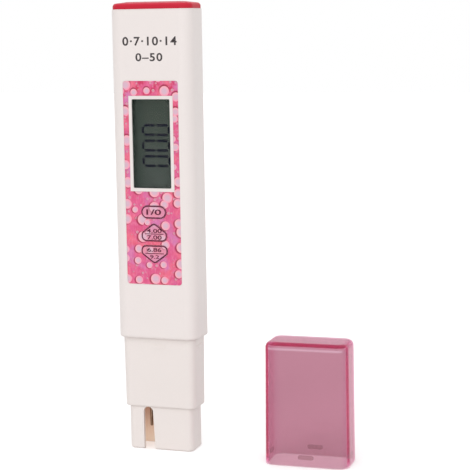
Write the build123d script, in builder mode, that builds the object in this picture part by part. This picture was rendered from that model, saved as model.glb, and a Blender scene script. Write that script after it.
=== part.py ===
from build123d import *

import os
from math import atan, degrees, sqrt

# Water quality test pen, with its protective cap standing beside it.
# All lengths are millimetres. The pen stands on its tip: +Z runs up the pen,
# the display faces -Y, and the origin is the centre of the tip's lower rim.

os.makedirs("parts", exist_ok=True)

# Clearance on each side of a fit
bond_gap = 0.05
pin_gap = 0.03
slide_gap = 0.2
seal_gap = 0.1
key_gap = 0.12
cover_gap = 0.15

# Button cells, side by side in the battery drawer
cell_diameter = 11.6
cell_thickness = 5.4
cell_step = 0.5
cell_lip = 0.95
cell_space = 0.6
cell_edge_gap = 0.1
cell_proud = 0.2
cell_pitch = cell_diameter + cell_space
carrier_side = 0.775
carrier_back = 0.8
carrier_height = 14.0

# Housing: one moulded tube with rounded corners, open at both ends.
# It is as wide as the two cells in their carrier.
body_wall = 1.6
body_corner = 4.2
body_rim_round = 0.4
mouth_chamfer = 0.3
bore_width = 2 * (slide_gap + carrier_side + cell_edge_gap) + cell_pitch + cell_diameter
bore_corner = body_corner - body_wall
body_width = bore_width + 2 * body_wall

# Stack through the depth: lens, display panel, board, cells and the room behind them
lens_flange_thickness = 0.6
lcd_gap = 0.1
lcd_thickness = 1.6
lcd_standoff = 1.4
board_thickness = 1.0
back_room = 1.35
bore_depth = (lens_flange_thickness + lcd_gap + lcd_thickness + lcd_standoff + board_thickness
              + bond_gap + cell_thickness + carrier_back + back_room)
body_depth = bore_depth + 2 * body_wall
front_y = -body_depth / 2
inner_front_y = front_y + body_wall
lcd_front_y = inner_front_y + lens_flange_thickness + lcd_gap
lcd_back_y = lcd_front_y + lcd_thickness
board_front_y = lcd_back_y + lcd_standoff
board_back_y = board_front_y + board_thickness
cell_front_y = board_back_y + bond_gap
cell_back_y = cell_front_y + cell_thickness

# Face sheet with the display opening above a column of keys
sheet_side = 4.7
sheet_corner = 1.0
sheet_thickness = 0.25
sheet_foot = 19.0
sheet_foot_margin = 7.125
sheet_drop = 23.9
recess_depth = 0.3
window_side = 3.025
window_height = 30.1
window_drop = 6.1
window_corner = 0.4
window_frame = 1.1
lens_sink = 0.25
lens_flange = 0.9
sheet_width = body_width - 2 * sheet_side
window_width = sheet_width - 2 * window_side

# Keys: a pill and two shields, each on a round plunger
key_x = 0.3
key_drop = 5.925
key_space = 1.45
key_travel = 0.35
key_proud = 0.12
key_floor_gap = 0.1
plunger_radius = 1.8
power_width = 8.95
power_height = 4.35
hold_width = 9.15
mode_width = 9.5
shield_height = 6.35
shoulder_share = 0.45
shield_corner = 0.27 * shield_height
shield_shoulder = 0.205 * shield_height
shield_point = 0.235 * shield_height

# Lengths along the pen, from the lower rim of the tip upwards
tip_length = 15.4
seat_length = 24.6
collar_z = tip_length + seat_length
sheet_foot_z = collar_z + sheet_foot
mode_z = sheet_foot_z + sheet_foot_margin + shield_height / 2
hold_z = mode_z + shield_height + key_space
power_z = hold_z + shield_height / 2 + key_space + power_height / 2
window_foot_z = power_z + power_height / 2 + key_drop
window_mid_z = window_foot_z + window_height / 2
sheet_top_z = window_foot_z + window_height + window_drop
sheet_mid_z = (sheet_foot_z + sheet_top_z) / 2
sheet_height = sheet_top_z - sheet_foot_z
mouth_z = sheet_top_z + sheet_drop
housing_length = mouth_z - collar_z
key_heights = (power_z, hold_z, mode_z)

# Display panel behind the lens, in its holder on the board
lcd_side_overlap = 1.65
lcd_end_overlap = 1.95
lcd_ledge = 1.6
lcd_width = window_width + 2 * lcd_side_overlap
lcd_height = window_height + 2 * lcd_end_overlap
holder_wall = 1.0
holder_lip = 1.2
foil_thickness = 0.2
zebra_width = 1.0

# Rails for the edges of the circuit board
board_edge_gap = 0.5
rail_depth = 1.2
rail_thickness = 1.0
rail_end_gap = 6.0

# Push switches under the keys
switch_size = 4.5
switch_height = 2.0
switch_cover = 0.35
switch_floor = 0.45
switch_chamber_radius = 1.6
stem_radius = 1.0
stem_proud = 0.65
stem_flange_radius = 1.35
stem_flange = 0.3
stem_key_gap = 0.05
dome_thickness = 0.12
dome_radius = 1.45
dome_crown = 0.5
switch_top_y = board_front_y - switch_height
stem_top_y = switch_top_y - stem_proud
stem_back_y = switch_top_y + switch_cover + stem_flange
dome_front_y = stem_back_y + key_travel + pin_gap
dome_back_y = board_front_y - switch_floor

# Probe body: shroud, cap seat and the plug that is bonded into the housing
collar_side_step = 1.275
collar_front_step = 1.4
seat_corner = 2.8
seat_draft = 0.3
seat_wall = 1.6
seat_round = 0.35
tip_side_step = 1.25
tip_front_step = 0.75
tip_corner = 2.0
tip_wall = 1.4
tip_edge = 0.5
bulkhead_rise = 1.6
bulkhead = 2.5
plug_length = 9.0
seal_height = 1.4
seal_groove = 0.7
seal_rise = 3.0
seat_bore_corner = 1.2
seat_width = body_width - 2 * collar_side_step
seat_depth = body_depth - 2 * collar_front_step
tip_width = seat_width - 2 * (seat_draft + tip_side_step)
tip_depth = seat_depth - 2 * (seat_draft + tip_front_step)
seat_bore_width = seat_width - 2 * (seat_draft + seat_wall)
seat_bore_depth = seat_depth - 2 * (seat_draft + seat_wall)
shroud_bore_width = tip_width - 2 * tip_wall
shroud_bore_depth = tip_depth - 2 * tip_wall
shroud_top_z = tip_length + bulkhead_rise
bulkhead_top_z = shroud_top_z + bulkhead
plug_top_z = collar_z + plug_length

# Water slots in the shroud, one in the front wall and one in the back wall
slot_mid_x = -4.45
slot_width = 3.5
slot_flare = 0.6
slot_drop = 0.2
slot_top_z = tip_length - slot_drop

# Snap ridges on the seat, and the dimples in the cap that take them
ridge_length = 5.0
ridge_height = 1.1
ridge_proud = 0.22
ridge_drop = 3.1
ridge_gap = 0.2

# Electrodes: steel pins, glass electrode, temperature sheath and reference junction
pin_radius = 0.5
pin_spacing = 3.3
pin_side_gap = 4.85
pin_tip_z = 7.35
pin_solder_length = 5.0
glass_side_gap = 1.35
glass_bulb_room = 1.3
glass_bulb_gap = 0.1
glass_swell = 0.4
glass_wall = 0.45
glass_tip_z = 3.6
glass_rise = 4.0
sheath_spacing = 2.6
sheath_radius = 1.1
sheath_wall = 0.25
sheath_edge = 0.5
sheath_gap = 0.6
sheath_tip_z = 9.0
sheath_rise = 2.0
junction_spacing = 2.3
junction_radius = 0.8
junction_proud = 0.8
junction_rise = 1.0
junction_gap = 0.45
potting_height = 12.5
stopper_flange = 1.0
stopper_depth = 3.0
silver_radius = 0.3
silver_tip_gap = 1.2
bead_radius = 0.7
bead_length = 2.0
lead_width = 0.8
lead_thickness = 0.3
lead_bend = 0.6
lead_rise = 4.0
glass_bulb_radius = shroud_bore_depth / 2 - glass_bulb_room
glass_stem_radius = glass_bulb_radius - glass_swell
glass_x = shroud_bore_width / 2 - glass_side_gap - glass_bulb_radius
pin_x = pin_side_gap + pin_radius - shroud_bore_width / 2
sheath_x = pin_x + pin_spacing + sheath_spacing
glass_place = (glass_x, shroud_bore_depth / 2 - glass_bulb_gap - glass_bulb_radius)
sheath_place = (sheath_x, shroud_bore_depth / 2 - sheath_gap - sheath_radius)
junction_place = (sheath_x + junction_spacing, board_back_y + junction_gap + junction_radius)
pin_y = board_back_y + bond_gap + pin_radius
pin_places = [(pin_x, pin_y), (pin_x + pin_spacing, pin_y)]
potting_top_z = bulkhead_top_z + potting_height
glass_top_z = potting_top_z + glass_rise
stopper_top_z = glass_top_z + stopper_flange
sheath_top_z = potting_top_z + sheath_rise
junction_top_z = potting_top_z + junction_rise

# Battery drawer: red head, skirt in the mouth, and the carrier under it
head_inset = 0.3
head_rim = 1.85
head_crown = 0.6
head_round = 1.2
head_roof = 1.3
crown_reach = 4.4
crown_corner = 1.5
skirt_depth = 4.0
skirt_wall = 1.2
gasket_height = 1.2
gasket_groove = 0.6
gasket_drop = 1.2
carrier_tongue_width = 15.0
carrier_tongue_depth = 3.0
bridge_thickness = 0.2
bridge_width = 4.0
contact_thickness = 0.25
contact_width = 3.0
contact_gap = 0.1
contact_foot = 3.5
contact_bend = 0.75
skirt_z = mouth_z - skirt_depth
head_top_z = mouth_z + head_rim + head_crown
head_width = body_width - 2 * head_inset
head_depth = body_depth - 2 * head_inset
carrier_z = skirt_z - carrier_height
cell_z = skirt_z - carrier_height / 2

# Circuit board, with a tongue that reaches down to the electrodes
board_top_gap = 1.0
board_tongue_gap = 1.0
board_tongue_margin = 2.4
board_top_z = carrier_z - board_top_gap
board_foot_z = plug_top_z + bond_gap
board_tongue_z = potting_top_z + board_tongue_gap
board_width = bore_width - 2 * board_edge_gap
board_tongue_width = seat_bore_width - 2 * board_tongue_margin

# Parts on the back of the board
chip_size = 10.0
chip_height = 1.4
chip_legs = 7
amplifier_width = 4.0
amplifier_length = 5.0
amplifier_legs = 4
amplifier_rise = 11.0
leg_width = 0.4
leg_pitch = 1.25
leg_reach = 1.0
leg_thickness = 0.3
crystal_length = 7.0
crystal_width = 3.2
crystal_height = 2.0
crystal_gap = 6.0
passive_length = 2.0
passive_width = 1.25
passive_height = 0.9
passive_pitch = 4.0
passive_column_count = 2
passive_row_count = 4
passive_side_gap = 1.975
passive_x = board_width / 2 - passive_side_gap - (passive_pitch + passive_length) / 2
chip_z = window_mid_z
crystal_z = chip_z - chip_size / 2 - crystal_gap
passive_z = (crystal_z + board_foot_z) / 2

# Protective cap, standing on its rim beside the pen
cap_x = 53.7
cap_y = -4.4
cap_turn = 1.65
cap_wall = 1.05
cap_roof = 1.2
cap_tip_gap = 0.6
cap_draft = 0.35
cap_edge_round = 2.0
cap_bore_width = seat_width + 2 * cover_gap
cap_bore_depth = seat_depth + 2 * cover_gap
cap_inner_height = collar_z + cap_tip_gap
cap_height = cap_inner_height + cap_roof
cap_width = cap_bore_width + 2 * cap_wall
cap_depth = cap_bore_depth + 2 * cap_wall


def plane_at(y):
    """Upright plane at one depth, whose normal points out of the display."""
    return Plane.XZ.offset(-y)


def shield_points(width, mid_z, point):
    """Corners of a shield key and their radii; point is 1 upwards and -1 downwards."""
    flat_z = mid_z - point * shield_height / 2
    shoulder_z = flat_z + point * shield_height * shoulder_share
    tip_z = flat_z + point * shield_height
    corners = [
        (key_x - width / 2, flat_z),
        (key_x + width / 2, flat_z),
        (key_x + width / 2, shoulder_z),
        (key_x, tip_z),
        (key_x - width / 2, shoulder_z),
    ]
    radii = [shield_corner, shield_corner, shield_shoulder, shield_point, shield_shoulder]
    return corners, radii


def key_outline(name, plane, margin=0.0):
    """Outline of one key on an upright plane, grown all round by a margin."""
    with BuildSketch(plane) as outline:
        if name == "power":
            with Locations((key_x, power_z)):
                SlotOverall(power_width, power_height)
        else:
            width, mid_z, point = (hold_width, hold_z, 1) if name == "hold" else (mode_width, mode_z, -1)
            corners, radii = shield_points(width, mid_z, point)
            with BuildLine():
                FilletPolyline(*corners, radius=radii, close=True)
            make_face()
        if margin:
            offset(amount=margin)
    return outline.sketch


def tube_outline(z, inset):
    """Outline of the housing's bore at one height, drawn in by an inset."""
    with BuildSketch(Plane.XY.offset(z)) as outline:
        RectangleRounded(bore_width - 2 * inset, bore_depth - 2 * inset, bore_corner - inset)
    return outline.sketch


def side_planes(reach_x, reach_y):
    """Planes of the front, back, left and right sides, each seen from outside."""
    return [
        Plane(origin=(0, -reach_y, 0), x_dir=(1, 0, 0), z_dir=(0, -1, 0)),
        Plane(origin=(0, reach_y, 0), x_dir=(-1, 0, 0), z_dir=(0, 1, 0)),
        Plane(origin=(-reach_x, 0, 0), x_dir=(0, -1, 0), z_dir=(-1, 0, 0)),
        Plane(origin=(reach_x, 0, 0), x_dir=(0, 1, 0), z_dir=(1, 0, 0)),
    ]


def save(part, name):
    """Names a finished piece and writes its file."""
    part.label = name
    export_step(part, f"parts/{name}.step")


key_names = ("power", "hold", "mode")

# Housing
with BuildPart() as housing:
    with BuildSketch(Plane.XY.offset(collar_z)):
        RectangleRounded(body_width, body_depth, body_corner)
    extrude(amount=housing_length)
    fillet(housing.faces().sort_by(Axis.Z)[0].edges(), radius=body_rim_round)
    chamfer(housing.faces().sort_by(Axis.Z)[-1].edges(), length=mouth_chamfer)
    extrude(tube_outline(collar_z, 0), amount=housing_length, mode=Mode.SUBTRACT)

    # Two pairs of rails that hold the edges of the circuit board
    with BuildSketch(Plane.XY.offset(board_foot_z + rail_end_gap)):
        for side in (-1, 1):
            for rail_y in (board_front_y - slide_gap - rail_thickness / 2,
                           board_back_y + slide_gap + rail_thickness / 2):
                with Locations((side * (bore_width - rail_depth) / 2, rail_y)):
                    Rectangle(rail_depth, rail_thickness)
    extrude(amount=board_top_z - board_foot_z - 2 * rail_end_gap)

    # Recess for the face sheet, which leaves the display's frame standing
    with BuildSketch(plane_at(front_y)):
        with Locations((0, sheet_mid_z)):
            RectangleRounded(sheet_width + 2 * bond_gap, sheet_height + 2 * bond_gap, sheet_corner)
        with Locations((0, window_mid_z)):
            Rectangle(window_width + 2 * window_frame, window_height + 2 * window_frame, mode=Mode.SUBTRACT)
    extrude(amount=-recess_depth, mode=Mode.SUBTRACT)
    with BuildSketch(plane_at(front_y)):
        with Locations((0, window_mid_z)):
            RectangleRounded(window_width, window_height, window_corner)
    extrude(amount=-body_wall, mode=Mode.SUBTRACT)

    # Pockets in which the keys sink, with a hole for each plunger
    for key_name, key_z in zip(key_names, key_heights):
        pocket = key_outline(key_name, plane_at(front_y), margin=key_gap)
        extrude(pocket, amount=-(recess_depth + key_travel + key_floor_gap), mode=Mode.SUBTRACT)
        with BuildSketch(plane_at(front_y)):
            with Locations((key_x, key_z)):
                Circle(plunger_radius + key_gap)
        extrude(amount=-body_wall, mode=Mode.SUBTRACT)
save(housing.part, "housing")

# Printed face sheet, with cut-outs for the display's frame and the keys
sheet_back_y = front_y + recess_depth
with BuildPart() as face_sheet:
    with BuildSketch(plane_at(sheet_back_y)):
        with Locations((0, sheet_mid_z)):
            RectangleRounded(sheet_width, sheet_height, sheet_corner)
        with Locations((0, window_mid_z)):
            Rectangle(window_width + 2 * (window_frame + bond_gap),
                      window_height + 2 * (window_frame + bond_gap), mode=Mode.SUBTRACT)
    extrude(amount=sheet_thickness)
    for key_name in key_names:
        cut_out = key_outline(key_name, plane_at(sheet_back_y), margin=key_gap)
        extrude(cut_out, amount=sheet_thickness, mode=Mode.SUBTRACT)
save(face_sheet.part, "face_sheet")

# Clear lens, bonded into the display opening from inside
with BuildPart() as display_lens:
    with BuildSketch(plane_at(inner_front_y)):
        with Locations((0, window_mid_z)):
            RectangleRounded(window_width - 2 * bond_gap, window_height - 2 * bond_gap, window_corner)
    extrude(amount=body_wall - lens_sink)
    with BuildSketch(plane_at(inner_front_y)):
        with Locations((0, window_mid_z)):
            Rectangle(window_width + 2 * lens_flange, window_height + 2 * lens_flange)
    extrude(amount=-lens_flange_thickness)
save(display_lens.part, "display_lens")


def make_key(name, mid_z):
    """Key cap with its plunger, resting on the stem of its switch."""
    with BuildPart() as cap:
        extrude(key_outline(name, plane_at(sheet_back_y)), amount=recess_depth + key_proud)
        with BuildSketch(plane_at(sheet_back_y)):
            with Locations((key_x, mid_z)):
                Circle(plunger_radius)
        extrude(amount=-(stem_top_y - stem_key_gap - sheet_back_y))
    return cap.part


def make_stem(mid_z):
    """Round switch stem with the flange that keeps it in the switch."""
    with BuildPart() as stem:
        with BuildSketch(plane_at(stem_top_y)):
            with Locations((key_x, mid_z)):
                Circle(stem_radius)
        extrude(amount=-(stem_back_y - stem_top_y))
        with BuildSketch(plane_at(stem_back_y)):
            with Locations((key_x, mid_z)):
                Circle(stem_flange_radius)
        extrude(amount=stem_flange - pin_gap)
    return stem.part


# Keys and the switch stems that they press
for key_name, key_z in zip(key_names, key_heights):
    save(make_key(key_name, key_z), f"{key_name}_key")
    save(make_stem(key_z), f"{key_name}_switch_stem")

# Bodies of the three push switches on the board
switch_places = [(key_x, key_z) for key_z in key_heights]
with BuildPart() as switch_bodies:
    with BuildSketch(plane_at(board_front_y)):
        with Locations(*switch_places):
            Rectangle(switch_size, switch_size)
    extrude(amount=switch_height)
    with BuildSketch(plane_at(dome_back_y)):
        with Locations(*switch_places):
            Circle(switch_chamber_radius)
    extrude(amount=switch_height - switch_floor - switch_cover, mode=Mode.SUBTRACT)
    with BuildSketch(plane_at(switch_top_y)):
        with Locations(*switch_places):
            Circle(stem_radius + seal_gap)
    extrude(amount=-switch_cover, mode=Mode.SUBTRACT)
save(switch_bodies.part, "switch_bodies")

# Snap domes that return the stems
with BuildPart() as snap_domes:
    for key_z in key_heights:
        with BuildSketch(Plane.YZ.offset(key_x)):
            with BuildLine():
                Polyline(
                    (dome_front_y, key_z),
                    (dome_front_y, key_z + dome_crown),
                    (dome_back_y, key_z + dome_radius),
                    (dome_back_y, key_z + dome_radius - dome_thickness),
                    (dome_front_y + dome_thickness, key_z + dome_crown - dome_thickness / 2),
                    (dome_front_y + dome_thickness, key_z),
                    close=True,
                )
            make_face()
        revolve(axis=Axis((key_x, 0, key_z), (0, 1, 0)))
save(snap_domes.part, "snap_domes")

# Liquid crystal panel: two glass plates, the front one wider at the contact edge
with BuildPart() as lcd_glass:
    with BuildSketch(plane_at(lcd_back_y)):
        with Locations((0, window_mid_z)):
            Rectangle(lcd_width, lcd_height)
    extrude(amount=lcd_thickness)
    with BuildSketch(plane_at(lcd_back_y)):
        with Locations(((lcd_ledge - lcd_width) / 2, window_mid_z)):
            Rectangle(lcd_ledge, lcd_height)
    extrude(amount=lcd_thickness / 2, mode=Mode.SUBTRACT)
save(lcd_glass.part, "lcd_glass")

# Reflector foil on the back of the panel
with BuildPart() as lcd_reflector:
    with BuildSketch(plane_at(lcd_back_y)):
        with Locations((lcd_ledge / 2, window_mid_z)):
            Rectangle(lcd_width - lcd_ledge - 2 * holder_lip, lcd_height - 2 * holder_lip)
    extrude(amount=-foil_thickness)
save(lcd_reflector.part, "lcd_reflector")

# Frame that holds the panel off the board, with a channel for the elastomer strip
holder_width = lcd_width + 2 * (lcd_gap + holder_wall)
holder_height = lcd_height + 2 * (lcd_gap + holder_wall)
zebra_x = (zebra_width + 2 * bond_gap - lcd_width) / 2
with BuildPart() as lcd_holder:
    with BuildSketch(plane_at(board_front_y)):
        with Locations((0, window_mid_z)):
            Rectangle(holder_width, holder_height)
            Rectangle(lcd_width - 2 * holder_lip, lcd_height - 2 * holder_lip, mode=Mode.SUBTRACT)
    extrude(amount=lcd_standoff)
    with BuildSketch(plane_at(lcd_back_y)):
        with Locations((0, window_mid_z)):
            Rectangle(holder_width, holder_height)
            Rectangle(lcd_width + 2 * lcd_gap, lcd_height + 2 * lcd_gap, mode=Mode.SUBTRACT)
    extrude(amount=lcd_thickness - lcd_gap)
    with BuildSketch(plane_at(board_front_y)):
        with Locations((zebra_x, window_mid_z)):
            Rectangle(zebra_width + 2 * bond_gap, lcd_height - 2 * holder_lip)
    extrude(amount=lcd_standoff, mode=Mode.SUBTRACT)
save(lcd_holder.part, "lcd_holder")

# Elastomer strip that joins the panel's contact edge to the board
with BuildPart() as zebra_strip:
    with BuildSketch(plane_at(board_front_y)):
        with Locations((zebra_x, window_mid_z)):
            Rectangle(zebra_width, lcd_height - 2 * (holder_lip + bond_gap))
    extrude(amount=lcd_standoff + lcd_thickness / 2)
save(zebra_strip.part, "zebra_strip")

# Circuit board
with BuildPart() as main_board:
    with BuildSketch(plane_at(board_back_y)):
        with Locations((0, (board_foot_z + board_top_z) / 2)):
            Rectangle(board_width, board_top_z - board_foot_z)
        with Locations((0, (board_tongue_z + board_foot_z) / 2)):
            Rectangle(board_tongue_width, board_foot_z - board_tongue_z)
    extrude(amount=board_thickness)
save(main_board.part, "main_board")


def make_chip(width, length, mid_z, legs):
    """Chip on the back of the board, with a row of legs at each side."""
    with BuildPart() as chip:
        with BuildSketch(plane_at(board_back_y)):
            with Locations((0, mid_z)):
                with GridLocations(width + leg_reach, leg_pitch, 2, legs):
                    Rectangle(leg_reach, leg_width)
        extrude(amount=-leg_thickness)
        with BuildSketch(plane_at(board_back_y)):
            with Locations((0, mid_z)):
                Rectangle(width, length)
        extrude(amount=-chip_height)
        chamfer(chip.faces().sort_by(Axis.Y)[-1].edges(), length=leg_thickness / 2)
    return chip.part


# Controller and the amplifier for the electrodes
amplifier_z = board_foot_z + amplifier_rise
save(make_chip(chip_size, chip_size, chip_z, chip_legs), "controller_chip")
save(make_chip(amplifier_width, amplifier_length, amplifier_z, amplifier_legs), "amplifier_chip")

# Clock crystal in its metal can
with BuildPart() as clock_crystal:
    with BuildSketch(plane_at(board_back_y)):
        with Locations((0, crystal_z)):
            SlotOverall(crystal_length, crystal_width)
    extrude(amount=-crystal_height)
    chamfer(clock_crystal.faces().sort_by(Axis.Y)[-1].edges(), length=crystal_height / 5)
save(clock_crystal.part, "clock_crystal")

# Small chip capacitors and resistors on the back of the board
with BuildPart() as board_passives:
    with BuildSketch(plane_at(board_back_y)):
        with Locations((passive_x, passive_z)):
            with GridLocations(passive_pitch, passive_pitch, passive_column_count, passive_row_count):
                Rectangle(passive_length, passive_width)
    extrude(amount=-passive_height)
save(board_passives.part, "board_passives")


def electrode_holes(z, grow_pins, grow_rest):
    """Circles round every electrode at one height, for the holes that they pass through."""
    with BuildSketch(Plane.XY.offset(z)) as holes:
        with Locations(*pin_places):
            Circle(pin_radius + grow_pins)
        with Locations(glass_place):
            Circle(glass_stem_radius + grow_rest)
        with Locations(sheath_place):
            Circle(sheath_radius + grow_rest)
        with Locations(junction_place):
            Circle(junction_radius + grow_rest)
    return holes.sketch


# Probe body
slot_radius = slot_width / 2
slot_left_x = slot_mid_x - slot_radius
slot_right_x = slot_mid_x + slot_radius
slot_arch_z = slot_top_z - slot_radius
ridge_z = collar_z - ridge_drop
ridge_inset = seat_draft * ridge_drop / seat_length
with BuildPart() as probe_body:
    # Cap seat, a little wider towards the collar, with its lower edge rounded
    with BuildSketch(Plane.XY.offset(tip_length)):
        RectangleRounded(seat_width - 2 * seat_draft, seat_depth - 2 * seat_draft, seat_corner - seat_draft)
    extrude(amount=seat_length, taper=-degrees(atan(seat_draft / seat_length)))
    fillet(probe_body.faces().sort_by(Axis.Z)[0].edges(), radius=seat_round)

    # Shroud at the tip and plug at the top
    with BuildSketch():
        RectangleRounded(tip_width, tip_depth, tip_corner)
    extrude(amount=tip_length)
    chamfer(probe_body.faces().sort_by(Axis.Z)[0].edges(), length=tip_edge)
    extrude(tube_outline(collar_z, bond_gap), amount=plug_length)

    # Groove round the plug for its seal
    with BuildSketch(Plane.XY.offset(collar_z + seal_rise)):
        Rectangle(bore_width, bore_depth)
        add(tube_outline(collar_z + seal_rise, bond_gap + seal_groove), mode=Mode.SUBTRACT)
    extrude(amount=seal_height, mode=Mode.SUBTRACT)

    # Shroud cavity below the bulkhead, electronics cavity above it
    with BuildSketch():
        RectangleRounded(shroud_bore_width, shroud_bore_depth, tip_corner - tip_wall)
    extrude(amount=shroud_top_z, mode=Mode.SUBTRACT)
    with BuildSketch(Plane.XY.offset(bulkhead_top_z)):
        RectangleRounded(seat_bore_width, seat_bore_depth, seat_bore_corner)
    extrude(amount=plug_top_z - bulkhead_top_z, mode=Mode.SUBTRACT)
    extrude(electrode_holes(shroud_top_z, pin_gap, bond_gap), amount=bulkhead, mode=Mode.SUBTRACT)

    # Water slots: arched at the top, a little wider at the open end
    for wall_plane in side_planes(tip_width / 2, tip_depth / 2)[:2]:
        with BuildSketch(wall_plane):
            with BuildLine():
                Polyline((slot_left_x, slot_arch_z), (slot_left_x, 0), (slot_right_x + slot_flare, 0),
                         (slot_right_x, slot_arch_z))
                ThreePointArc((slot_left_x, slot_arch_z), (slot_mid_x, slot_top_z),
                              (slot_right_x, slot_arch_z))
            make_face()
        extrude(amount=-tip_wall, mode=Mode.SUBTRACT)

    # Snap ridges that hold the protective cap
    for side_plane in side_planes(seat_width / 2 - ridge_inset, seat_depth / 2 - ridge_inset):
        with BuildSketch(side_plane):
            with Locations((0, ridge_z)):
                SlotOverall(ridge_length, ridge_height)
        extrude(amount=ridge_proud, both=True)
save(probe_body.part, "probe_body")

# Seal in the plug's groove
with BuildPart() as probe_seal:
    extrude(tube_outline(collar_z + seal_rise + bond_gap, pin_gap), amount=seal_height - 2 * bond_gap)
    extrude(tube_outline(collar_z + seal_rise + bond_gap, seal_groove), amount=seal_height - 2 * bond_gap,
            mode=Mode.SUBTRACT)
save(probe_seal.part, "probe_seal")

# Steel conductivity pins, soldered to the back of the board's tongue
with BuildPart() as conductivity_pins:
    with BuildSketch(Plane.XY.offset(pin_tip_z)):
        with Locations(*pin_places):
            Circle(pin_radius)
    extrude(amount=board_tongue_z + pin_solder_length - pin_tip_z)
    chamfer(conductivity_pins.faces().sort_by(Axis.Z)[:2].edges(), length=pin_radius / 3)
save(conductivity_pins.part, "conductivity_pins")


def glass_profile(inset):
    """Half outline of the glass tube and its bulb, drawn in by an inset."""
    stem = glass_stem_radius - inset
    bulb = glass_bulb_radius - inset
    bulb_z = glass_tip_z + glass_bulb_radius
    neck_z = bulb_z + sqrt(bulb**2 - stem**2)
    with BuildSketch(Plane((*glass_place, 0), x_dir=(1, 0, 0), z_dir=(0, -1, 0))) as profile:
        with BuildLine():
            Polyline((0, bulb_z - bulb), (0, glass_top_z), (stem, glass_top_z), (stem, neck_z))
            ThreePointArc((0, bulb_z - bulb), (bulb, bulb_z), (stem, neck_z))
        make_face()
    return profile.sketch


# Glass electrode: thin tube that ends in a round bulb
glass_axis = Axis((*glass_place, 0), (0, 0, 1))
with BuildPart() as glass_electrode:
    revolve(glass_profile(0), axis=glass_axis)
    revolve(glass_profile(glass_wall), axis=glass_axis, mode=Mode.SUBTRACT)
save(glass_electrode.part, "glass_electrode")


def disc(place, z, radius):
    """Round sketch at one height."""
    with BuildSketch(Plane.XY.offset(z)) as sketch:
        with Locations(place):
            Circle(radius)
    return sketch.sketch


# Stopper in the open end of the glass tube
with BuildPart() as glass_stopper:
    extrude(disc(glass_place, glass_top_z - stopper_depth, glass_stem_radius - glass_wall - bond_gap),
            amount=stopper_depth)
    extrude(disc(glass_place, glass_top_z, glass_stem_radius), amount=stopper_flange)
    extrude(disc(glass_place, glass_top_z - stopper_depth, silver_radius + pin_gap),
            amount=stopper_depth + stopper_flange, mode=Mode.SUBTRACT)
save(glass_stopper.part, "glass_stopper")

# Silver wire down the middle of the glass electrode
silver_tip_z = glass_tip_z + glass_wall + silver_tip_gap
with BuildPart() as silver_wire:
    extrude(disc(glass_place, silver_tip_z, silver_radius), amount=stopper_top_z - silver_tip_z)
save(silver_wire.part, "silver_wire")

# Porous reference junction
junction_tip_z = shroud_top_z - junction_proud
with BuildPart() as reference_junction:
    extrude(disc(junction_place, junction_tip_z, junction_radius), amount=junction_top_z - junction_tip_z)
save(reference_junction.part, "reference_junction")

# Closed steel sheath of the temperature sensor
sheath_floor_z = sheath_tip_z + 2 * sheath_wall
with BuildPart() as temperature_sheath:
    extrude(disc(sheath_place, sheath_tip_z, sheath_radius), amount=sheath_top_z - sheath_tip_z)
    chamfer(temperature_sheath.faces().sort_by(Axis.Z)[0].edges(), length=sheath_edge)
    extrude(disc(sheath_place, sheath_floor_z, sheath_radius - sheath_wall),
            amount=sheath_top_z - sheath_floor_z, mode=Mode.SUBTRACT)
save(temperature_sheath.part, "temperature_sheath")

# Thermistor bead at the bottom of its sheath, on its stiff leads
bead_z = sheath_floor_z + pin_gap
bead_top_z = bead_z + bead_length
with BuildPart() as thermistor:
    extrude(disc(sheath_place, bead_z, bead_radius), amount=bead_length)
    extrude(disc(sheath_place, bead_top_z, bead_radius / 2), amount=sheath_top_z - bead_top_z)
save(thermistor.part, "thermistor")

# Potting compound that seals the electrodes above the bulkhead
with BuildPart() as potting:
    with BuildSketch(Plane.XY.offset(bulkhead_top_z)):
        RectangleRounded(seat_bore_width - 2 * bond_gap, seat_bore_depth - 2 * bond_gap,
                         seat_bore_corner - bond_gap)
        add(electrode_holes(bulkhead_top_z, pin_gap, bond_gap), mode=Mode.SUBTRACT)
    extrude(amount=potting_height)
save(potting.part, "potting")

# Flat leads from the sensors to the back of the board
lead_starts = [(glass_place, stopper_top_z), (sheath_place, sheath_top_z), (junction_place, junction_top_z)]
with BuildPart() as sensor_leads:
    for place, start_z in lead_starts:
        with BuildLine():
            lead_path = FilletPolyline((*place, start_z), (*place, start_z + lead_rise),
                                       (place[0], board_back_y, start_z + lead_rise), radius=lead_bend)
        with BuildSketch(Plane(origin=(*place, start_z), x_dir=(1, 0, 0), z_dir=(0, 0, 1))):
            Rectangle(lead_width, lead_thickness)
        sweep(path=lead_path)
save(sensor_leads.part, "sensor_leads")


def head_outline(z, inset, corner):
    """Outline of the red head at one height, drawn in by an inset."""
    with BuildSketch(Plane.XY.offset(z)) as outline:
        RectangleRounded(head_width - 2 * inset, head_depth - 2 * inset, corner)
    return outline.sketch


# Red head of the battery drawer: a low rim that rises to a flat crown
gasket_z = mouth_z - gasket_drop - gasket_height
head_corner = body_corner - head_inset
rim_z = mouth_z + head_rim
with BuildPart() as battery_cap:
    extrude(head_outline(mouth_z, 0, head_corner), amount=head_rim)
    loft([head_outline(rim_z, 0, head_corner), head_outline(head_top_z, crown_reach, crown_corner)])
    fillet(battery_cap.edges().filter_by_position(Axis.Z, rim_z, rim_z), radius=head_round)

    # Skirt that closes the mouth, with the groove for its gasket
    extrude(tube_outline(skirt_z, slide_gap), amount=skirt_depth)
    with BuildSketch(Plane.XY.offset(gasket_z)):
        Rectangle(bore_width, bore_depth)
        add(tube_outline(gasket_z, slide_gap + gasket_groove), mode=Mode.SUBTRACT)
    extrude(amount=gasket_height, mode=Mode.SUBTRACT)
    extrude(tube_outline(skirt_z, slide_gap + skirt_wall), amount=skirt_depth + head_rim - head_roof,
            mode=Mode.SUBTRACT)
save(battery_cap.part, "battery_cap")

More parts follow.
